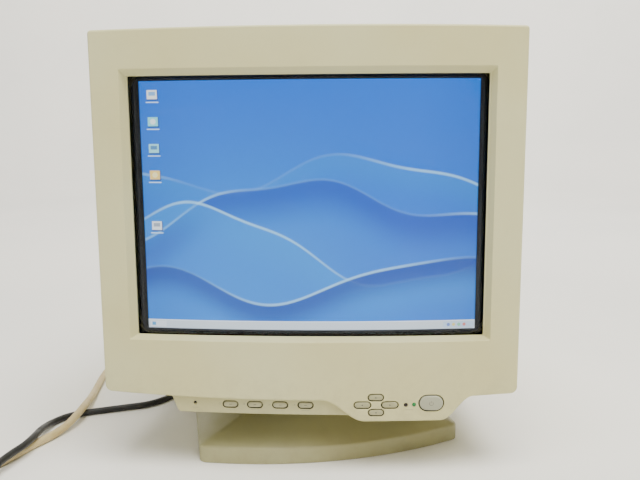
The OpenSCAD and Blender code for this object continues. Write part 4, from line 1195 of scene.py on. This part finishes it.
def make_shade_sleeves(material):
    """Dark sleeves just inside the walls of the buttons' openings: painted shade in the gaps round the buttons, not
    a part of the real monitor.
    """
    parts = []
    places = [(at, arrow_size(way), 0.0) for way, at in ARROWS.items()] + [(POWER_AT, POWER_SIZE, 0.0)]
    places += [((x, FUNCTION_Z), FUNCTION_SIZE, STRIP_DEPTH) for x in FUNCTION_X]
    for at, (w, h), base in places:
        outer = stadium(at, w + 2 * GAP - 0.02, h + 2 * GAP - 0.02, 12)
        inner = outset(outer, -0.18)
        parts.append(ring([on_face(outer, base + 0.5), on_face(inner, base + 0.6), on_face(inner, base + 3.2),
                           on_face(outer, base + 3.2)]))
    piece("button_opening_painted_shade", merge(*parts), "cabinet", "cabinet_plastic", material, 35)


def make_prints(ink):
    """Small plain signs printed beside the buttons."""
    a, b, c, d = [(x - 10.6, FUNCTION_Z + 0.4) for x in FUNCTION_X]
    marks = [printed_ring(a, 1.05, 0.3, STRIP_DEPTH), printed_ring(b, 1.0, 0.3, STRIP_DEPTH)]
    on_strip = [bar(b, 0.5, 1.3), bar(c, 1.9, 0.35, 0.5), bar(c, 1.9, 0.35, -0.5), triangle(d, 1.1, 180)]
    on_strip += [bar((x, FUNCTION_Z), 8.4, 0.34, -5.1) for x in FUNCTION_X]
    on_strip.append(bar(RESET_AT, 5.6, 0.34, -4.9))
    marks += [printed(mark, STRIP_DEPTH) for mark in on_strip]
    marks += [printed(mark, 0.0) for mark in (bar((64.9, 57.6), 3.4, 0.34), bar((97, 65.6), 7.4, 0.34))]
    piece("printed_signs", merge(*marks), "cabinet", "cabinet_plastic", ink, 30)


def make_lamps(green, amber):
    """Domed lenses with a collar behind the face."""
    r = LAMP_D / 2
    for name, (x, z), material, slot in (("power_lamp", POWER_LAMP_AT, green, "green_lamp"),
                                         ("standby_lamp", STANDBY_LAMP_AT, amber, "amber_lamp")):
        y = face_at(x)
        angles = [math.pi / 2 * k / 5 for k in range(1, 6)]
        dome = [(-0.55 + 0.75 * (1 - math.cos(a)), r * math.sin(a)) for a in angles]
        profile = [(-0.55, 0.25)] + dome + [(5.0, r), (5.0, r + 0.4), (6.2, r + 0.4), (6.2, r * 0.5),
                                            (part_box(name)[1].y / MM - y, r * 0.5)]
        piece(name + "_lens", solid(turned(profile, (x, y, z), "Y", 28)), "cabinet", slot, material, 35, [name])


# ---------------------------------------------------------------- rear connections and screws

def make_rear(black, beige):
    """Power inlet with its connector, and the gland where the video cable leaves."""
    x, z = INLET_AT
    at = lambda t, u, v: (x + u, t, z + v)
    flange = barrel([(279.2, 39, 27, 3), (281.6, 39.6, 27.6, 3.2), (282, 38.8, 26.8, 3)], at)
    socket = solid([[at(t, u, v) for u, v in rounded(w, h, r, 5)] for t, w, h, r in
                    ((268, 30.6, 22.6, 3.4), (281.9, 30.6, 22.6, 3.4), (282.35, 30.2, 22.2, 3.2),
                     (282.35, 27.4, 19.4, 2.4), (281.9, 27.0, 19.0, 2.2), (270, 27.0, 19.0, 2.2))])
    head = [(281.8, 2.6), (282.5, 2.6), (283.0, 1.7), (283.1, 0.3)]
    screws = [solid(turned(head, (x + side * 17.3, 0, z), "Y", 24)) for side in (-1, 1)]
    piece("power_inlet", merge(flange, socket), "cabinet", "black_plastic", black, 35, ["ac_inlet"])
    piece("power_inlet_screws", merge(*screws), "cabinet", "steel", PLATED, 35)
    body = barrel([(282.6, 26.4, 18.4, 3.4), (283.2, 27.8, 19.8, 3.8), (284.4, 28.4, 20.4, 4.0),
                   (300, 28.6, 20.6, 4.6), (307, 27.0, 19.8, 6.5), (311.5, 23.0, 17.8, 7.8),
                   (313.8, 17.5, 15.2, 7.4), (314.6, 15.4, 14.4, 7.1)], at, 8)
    neck = barrel(relief(313.4, 342.4, 15.4, 9.3, 7), at, 8)
    grips = [barrel(soft(288 + 3.6 * k, 289.9 + 3.6 * k, 29.3, 12, 3.0, 0.6, 2), at) for k in range(5)]
    piece("power_connector_body", merge(body, neck, *grips), "cabinet", "black_plastic", BLACK_VINYL, 40,
          ["power_connector"])
    profile = [(279.0, 7.0), (279.3, 10.6), (280.3, 11.0), (282.2, 11.0), (283.0, 10.3), (283.6, 8.9), (284.4, 8.5)]
    start, end = 286, 318.4
    for k in range(8):
        a = start + (end - start) * (k + 0.3) / 8.2
        profile += [(a + dt, 8.4 + (5.5 - 8.4) * (a + dt - start) / (end - start) - cut)
                    for dt, cut in ((0, 0), (0.4, 0.8), (1.4, 0.8), (1.8, 0))]
    profile += [(318.0, 5.5), (end, 4.9)]
    piece("cable_gland_body", solid(turned(profile, (GLAND_AT[0], 0, GLAND_AT[1]), "Y", 36)), "cabinet",
          "cable_jacket", beige, 35, ["cable_gland"])


def make_screws():
    """Cross-head screws at the bottom of the cover's wells."""
    parts = []
    for x, z in WELLS:
        parts.append(solid(turned([(-108, 1.6), (-107, 1.9), (-83.8, 1.9)], (x, 0, z), "Y", 20)))
        head = turned([(-83.9, 3.9), (-83.2, 4.0), (-82.2, 3.8), (-81.5, 3.2), (-81.1, 2.3), (-81.0, 2.0),
                       (-82.2, 1.2), (-82.3, 0.2)], (x, 0, z), "Y", 32)
        for row in head[5:]:
            for k, (px, py, pz) in enumerate(row):
                f = 1.0 if k % 8 in (0, 1, 7) else 0.42
                row[k] = (x + (px - x) * f, py, z + (pz - z) * f)
        parts.append(solid(head))
    piece("cabinet_screw_set", merge(*parts), "cabinet", "steel", PLATED, 35, ["cabinet_screws"])


# ---------------------------------------------------------------- picture tube

GLASS_Y, GLASS_R = -136.0, 1400.0
PICTURE = (-0.1610, 0.1626, 0.1399, 0.3813)   # its left, right, lower and upper edge, in metres


def bowed(x, depth):
    """How far back the tube's face lies at x, with depth behind its front."""
    return GLASS_Y + GLASS_R - math.sqrt((GLASS_R - depth) ** 2 - x * x)


def bowed_sheet(loop, depth, step):
    return fill(loop, [], step, lambda x, z: (x, bowed(x, depth), z))


def bowed_rows(loop, pairs, depth=0):
    return [[(x, bowed(x, depth + down), z) for x, z in outset(loop, -d)] for d, down in pairs]


def make_glass(material):
    """The tube's face panel: bowed from side to side only, with its skirt going back to the funnel."""
    loop = stretch_loop(rounded(360, 272, 22, 8, (0, TUBE_Z)), 8)
    inner = outset(loop, -11)
    rows = bowed_rows(loop, quarter(5, 5)) + [[(x, y, z) for x, z in loop] for y in (-112, -95, -80, -70)]
    rows += [[(x, y, z) for x, z in inner] for y in (-70, -85, -100)] + bowed_rows(inner, quarter(6, 5)[::-1], 11)
    shape = merge(bowed_sheet(outset(loop, -5), 0, 9.0), bowed_sheet(outset(inner, -6), 11, 12.0), bridge(rows))
    piece("tube_face_glass", shape, "cabinet", "coated_glass", material, 50, ["crt_panel"], weld=2e-6)


def make_screen(material):
    """The phosphor layer just behind the glass."""
    loop = stretch_loop(rounded(334, 246, 5, 6, (0, TUBE_Z)), 8)
    front, back = 11.25, 11.6   # depths behind the front of the glass
    rows = [[(x, bowed(x, depth), z) for x, z in loop] for depth in (front, back)]
    shape = merge(bowed_sheet(loop, front, 9.0), bowed_sheet(loop, back, 12.0), bridge(rows))
    piece("lit_screen", shape, "cabinet", "phosphor", material, 50, ["phosphor_screen"], weld=2e-6)


def box_mask(s, x, z, at, size, soft=0.0004):
    """1 inside a rectangle on the screen, in metres."""
    across, up = (s.ramp(s.away(value, centre), side / 2 - soft, side / 2 + soft, 1.0, 0.0)
                  for value, centre, side in zip((x, z), at, size))
    return s.times(across, up)


def disc_mask(s, x, z, at, r, soft=0.0004):
    dx, dz = s.math("SUBTRACT", x, at[0]), s.math("SUBTRACT", z, at[1])
    away = s.math("SQRT", s.math("ADD", s.times(dx, dx), s.times(dz, dz)))
    return s.ramp(away, r - soft, r + soft, 1.0, 0.0)


def wave(s, x, base, swings, tilt):
    """Height of a curve across the screen: base, plus sines given as (height, waves per metre, shift)."""
    total = s.math("MULTIPLY_ADD", x, tilt, base)
    for height, rate, shift in swings:
        sine = s.math("SINE", s.math("MULTIPLY_ADD", x, rate * TAU, shift))
        total = s.math("MULTIPLY_ADD", sine, height, total)
    return total


# Ribbons: height, its two swings, tilt, thickness, colour and strength
RIBBONS = ((0.292, ((0.020, 3.1, 0.4), (0.006, 7.0, 1.0)), -0.05, 0.034, rgb(8, 118, 208), 0.75),
           (0.262, ((0.026, 2.6, 2.0), (0.005, 8.0, 0.2)), 0.08, 0.046, rgb(2, 56, 164), 0.7),
           (0.222, ((0.030, 2.9, 3.4), (0.004, 9.0, 2.2)), -0.10, 0.052, rgb(14, 132, 216), 0.65),
           (0.188, ((0.018, 3.6, 5.1), (0.006, 6.0, 0.5)), 0.06, 0.036, rgb(2, 46, 142), 0.75))
# Icons: the colours of the body and of the spot on it
ICONS = (((236, 236, 228), (120, 170, 220)), ((130, 214, 220), (230, 240, 240)), ((150, 220, 226), (70, 130, 180)),
         ((244, 206, 110), (250, 232, 170)), ((228, 232, 236), (150, 160, 176)))


def picture_marks():
    """Plain icons down the left and an empty bar along the bottom: (place, size or radius, colour)."""
    x0, x1, z0, z1 = PICTURE
    marks = []
    for k, (body, spot) in enumerate(ICONS):
        u, v = x0 + 0.0125, z1 - 0.0125 - 0.0255 * k - (0.024 if k == 4 else 0)
        marks += [((u + 0.0006, v - 0.0008), (0.0106, 0.0092), (10, 60, 140)),
                  ((u, v), (0.0100, 0.0086), body),
                  ((u, v), 0.0027, spot) if k % 2 else ((u, v + 0.0008), (0.0066, 0.0036), spot),
                  ((u, v - 0.0072), (0.0125, 0.0009), (214, 232, 250))]
    middle, low = (x0 + x1) / 2, z0 + 0.0042
    marks += [((middle, low), (0.4, 0.0088), (196, 206, 214)),
              ((middle, z0 + 0.0083), (0.4, 0.0006), (240, 244, 246)),
              ((x0 + 0.010, low), (0.0165, 0.0060), (216, 222, 226)),
              ((x0 + 0.0055, low), (0.0038, 0.0034), (70, 150, 200)),
              ((x1 - 0.016, low), (0.030, 0.0062), (180, 200, 222))]
    dots = ((90, 120, 190), (220, 200, 120), (120, 190, 150), (210, 120, 110))
    return marks + [((x1 - 0.026 + 0.0052 * k, low), 0.0016, colour) for k, colour in enumerate(dots)]


def screen_material():
    """Unlit grey phosphor with a plain blue picture of soft ribbons, a row of plain icons and an empty bar."""
    s = Shader("phosphor_picture")
    x, z = s.axis(0), s.axis(2)
    x0, x1, z0, z1 = PICTURE
    tone = s.mix(s.ramp(z, z0, z1), rgb(4, 106, 206), rgb(0, 98, 204))
    glow = s.ramp(s.away(x, -0.06), 0.19, 0.0)
    tone = s.mix(s.times(glow, s.ramp(z, z1, z0 + 0.05, 0.0, 0.75)), tone, rgb(12, 128, 216))
    for base, swings, tilt, thick, colour, strength in RIBBONS:
        under = s.math("SUBTRACT", wave(s, x, base, swings, tilt), z)
        body = s.times(s.ramp(under, -0.0012, 0.0016), s.ramp(under, thick, 0.004, 0.0, strength))
        tone = s.mix(body, tone, colour)
        rim = s.ramp(s.math("ABSOLUTE", under), 0.0022, 0.0003)
        along = s.math("SINE", s.math("MULTIPLY_ADD", x, 15, base * 40))
        tone = s.mix(s.times(rim, s.ramp(along, -0.6, 0.9, 0.1, 0.7)), tone, rgb(160, 214, 240))
    marks = picture_marks()
    masks = [(box_mask if isinstance(size, tuple) else disc_mask)(s, x, z, at, size) for at, size, _ in marks]
    for mask, (_, _, colour) in zip(masks, marks):
        tone = s.mix(mask, tone, rgb(*colour))
    lit = box_mask(s, x, z, ((x0 + x1) / 2, (z0 + z1) / 2), (x1 - x0, z1 - z0), 0.0005)
    fade = s.ramp(s.away(x, 0.001), 0.09, 0.185, 1.0, 0.86)
    s.set("Emission Color", s.mix(s.times(lit, fade), (0, 0, 0, 1), tone))
    s.set("Emission Strength", 2.7)
    s.set("Base Color", s.mix(s.spots(900, 2, 0.5, 0.3, 0.7), rgb(56, 58, 62), rgb(66, 68, 72)))
    s.set("Roughness", s.spots(300, 2, 0.5, 0.3, 0.7, 0.78, 0.9))
    return s.material


def glass_material():
    """Tinted face glass with a faintly uneven polish."""
    s = Shader("face_glass", Transmission_Weight=1.0, IOR=1.28)
    s.set("Base Color", s.mix(s.spots(4, 2, 0.5, 0.3, 0.7), (0.60, 0.63, 0.65, 1), (0.63, 0.66, 0.67, 1)))
    s.set("Roughness", s.spots(30, 4, 0.65, 0.35, 0.75, 0.02, 0.07))
    s.set("Normal", s.bump(s.noise(14, 2, 0.5), 0.03, 0.0004))
    return s.material


# ---------------------------------------------------------------- materials of the CAD nodes that stay

def finish_nodes():
    """Every CAD node whose own shape is shown gets a worked material."""
    looks = (
        (plastic("stand_moulding", rgb(176, 173, 140), rgb(170, 165, 126), 0.5, 1.1, 0.45, 0.0, 0.03),
         "tilt_dome swivel_dish swivel_shoe"),
        (metal("zinc_plate", rgb(176, 178, 178), 0.34, (1, 8, 1)),
         "grille_frame rim_band tube_screws electron_gun swivel_spring swivel_washer swivel_screw chassis_tray"),
        (metal("grille_steel", rgb(92, 92, 94), 0.4, (1, 1, 12)), "aperture_grille"),
        (coated("graphite_coat", rgb(44, 45, 47), rgb(62, 62, 62), 0.55, 40, 0.5, 0.3), "crt_funnel"),
        (coated("neck_glass", rgb(150, 158, 160), rgb(126, 134, 138), 0.1, 30, 0.4, 0.05), "crt_neck"),
        (metal("enamelled_copper", rgb(184, 104, 60), 0.3, (30, 1, 30)),
         "deflection_yoke degauss_coil power_transformer"),
        (coated("socket_moulding", rgb(222, 220, 206), rgb(204, 198, 176), 0.45, 90, 0.5, 0.2),
         "crt_socket convergence_rings"),
        (coated("board_lacquer", rgb(44, 104, 62), rgb(150, 156, 120), 0.3, 520, 0.55, 0.35),
         "main_board neck_board control_board"),
        (coated("capacitor_sleeve", rgb(34, 46, 84), rgb(52, 64, 104), 0.28, 60, 0.5, 0.1), "filter_capacitors"),
        (metal("extruded_aluminium", rgb(190, 192, 194), 0.3, (1, 1, 14)), "heatsinks"),
        (rubbery("red_lead", rgb(132, 30, 26), rgb(150, 52, 44), 0.4), "anode_lead"),
        (rubbery("foot_rubber", rgb(42, 41, 40), rgb(74, 72, 68), 0.75, 1.6), "rubber_feet anode_cap"),
        (coated("potting", rgb(26, 27, 29), rgb(44, 45, 48), 0.38, 80, 0.5, 0.2),
         "flyback_transformer tact_switches"),
        (plastic("glide_ring_moulding", rgb(232, 230, 222), rgb(220, 214, 196), 0.3, 0.5, 0.3), "glide_ring"),
        (plastic("base_plate_moulding", rgb(164, 160, 130), rgb(158, 152, 118), 0.55, 1.2, 0.6, 0.0, 0.004),
         "stand_base_plate"),
    )
    for material, names in looks:
        for name in names.split():
            NODES[name].data.materials.clear()
            NODES[name].data.materials.append(material)


# ---------------------------------------------------------------- the whole

set_camera()
set_studio()
make_stage()
make_cords()

CABINET = plastic("cabinet_moulding", BEIGE, BEIGE_AGED, 0.46, 1.0, 0.35, 0.05, 0.13)
# The stand's plastic is darker than the cabinet's, and its colour is made darker still: painted shade from the
# cabinet above it
STAND = plastic("stand_plastic_and_painted_shade", rgb(162, 160, 122), rgb(157, 152, 109), 0.48, 1.0, 0.45, 0.0, 0.03)
BUTTON = plastic("button_moulding", rgb(168, 165, 130), rgb(160, 156, 118), 0.4, 0.8, 0.5)
POWER = plastic("power_button_moulding", rgb(168, 170, 148), rgb(158, 158, 136), 0.38, 0.8, 0.5)
INK = coated("grey_ink", rgb(150, 146, 122), rgb(136, 130, 108), 0.5, 300, 0.4, 0.05)
DARK_INK = coated("dark_ink", rgb(96, 94, 82), rgb(84, 82, 72), 0.5, 300, 0.4, 0.05)
make_bezel(CABINET)
# The strip's beige is made darker than the cabinet's: painted shade under the chin's edge
make_strip(plastic("strip_painted_shade", rgb(180, 177, 134), rgb(186, 179, 130), 0.5, 1.0, 0.4, 0.05, 0.08))
make_cover(CABINET)
make_stand(STAND)
make_buttons(BUTTON, POWER, BLACK_MOULD, DARK_INK)
make_prints(INK)
# Dark sleeves in the buttons' openings: painted shade, not a real part
make_shade_sleeves(coated("shadowed_wall", rgb(26, 24, 18), rgb(18, 17, 13), 0.7, 200, 0.5, 0.1))
green = coated("green_lens", rgb(20, 96, 48), rgb(46, 130, 70), 0.12, 200, 0.5, 0.03)
green.node_tree.nodes["Principled BSDF"].inputs["Emission Color"].default_value = rgb(20, 200, 90)
green.node_tree.nodes["Principled BSDF"].inputs["Emission Strength"].default_value = 0.12
make_lamps(green, coated("amber_lens", rgb(24, 12, 9), rgb(36, 18, 12), 0.12, 200, 0.5, 0.03))
make_rear(BLACK_MOULD, BEIGE_VINYL)
make_screws()
make_glass(glass_material())
make_screen(screen_material())
finish_nodes()
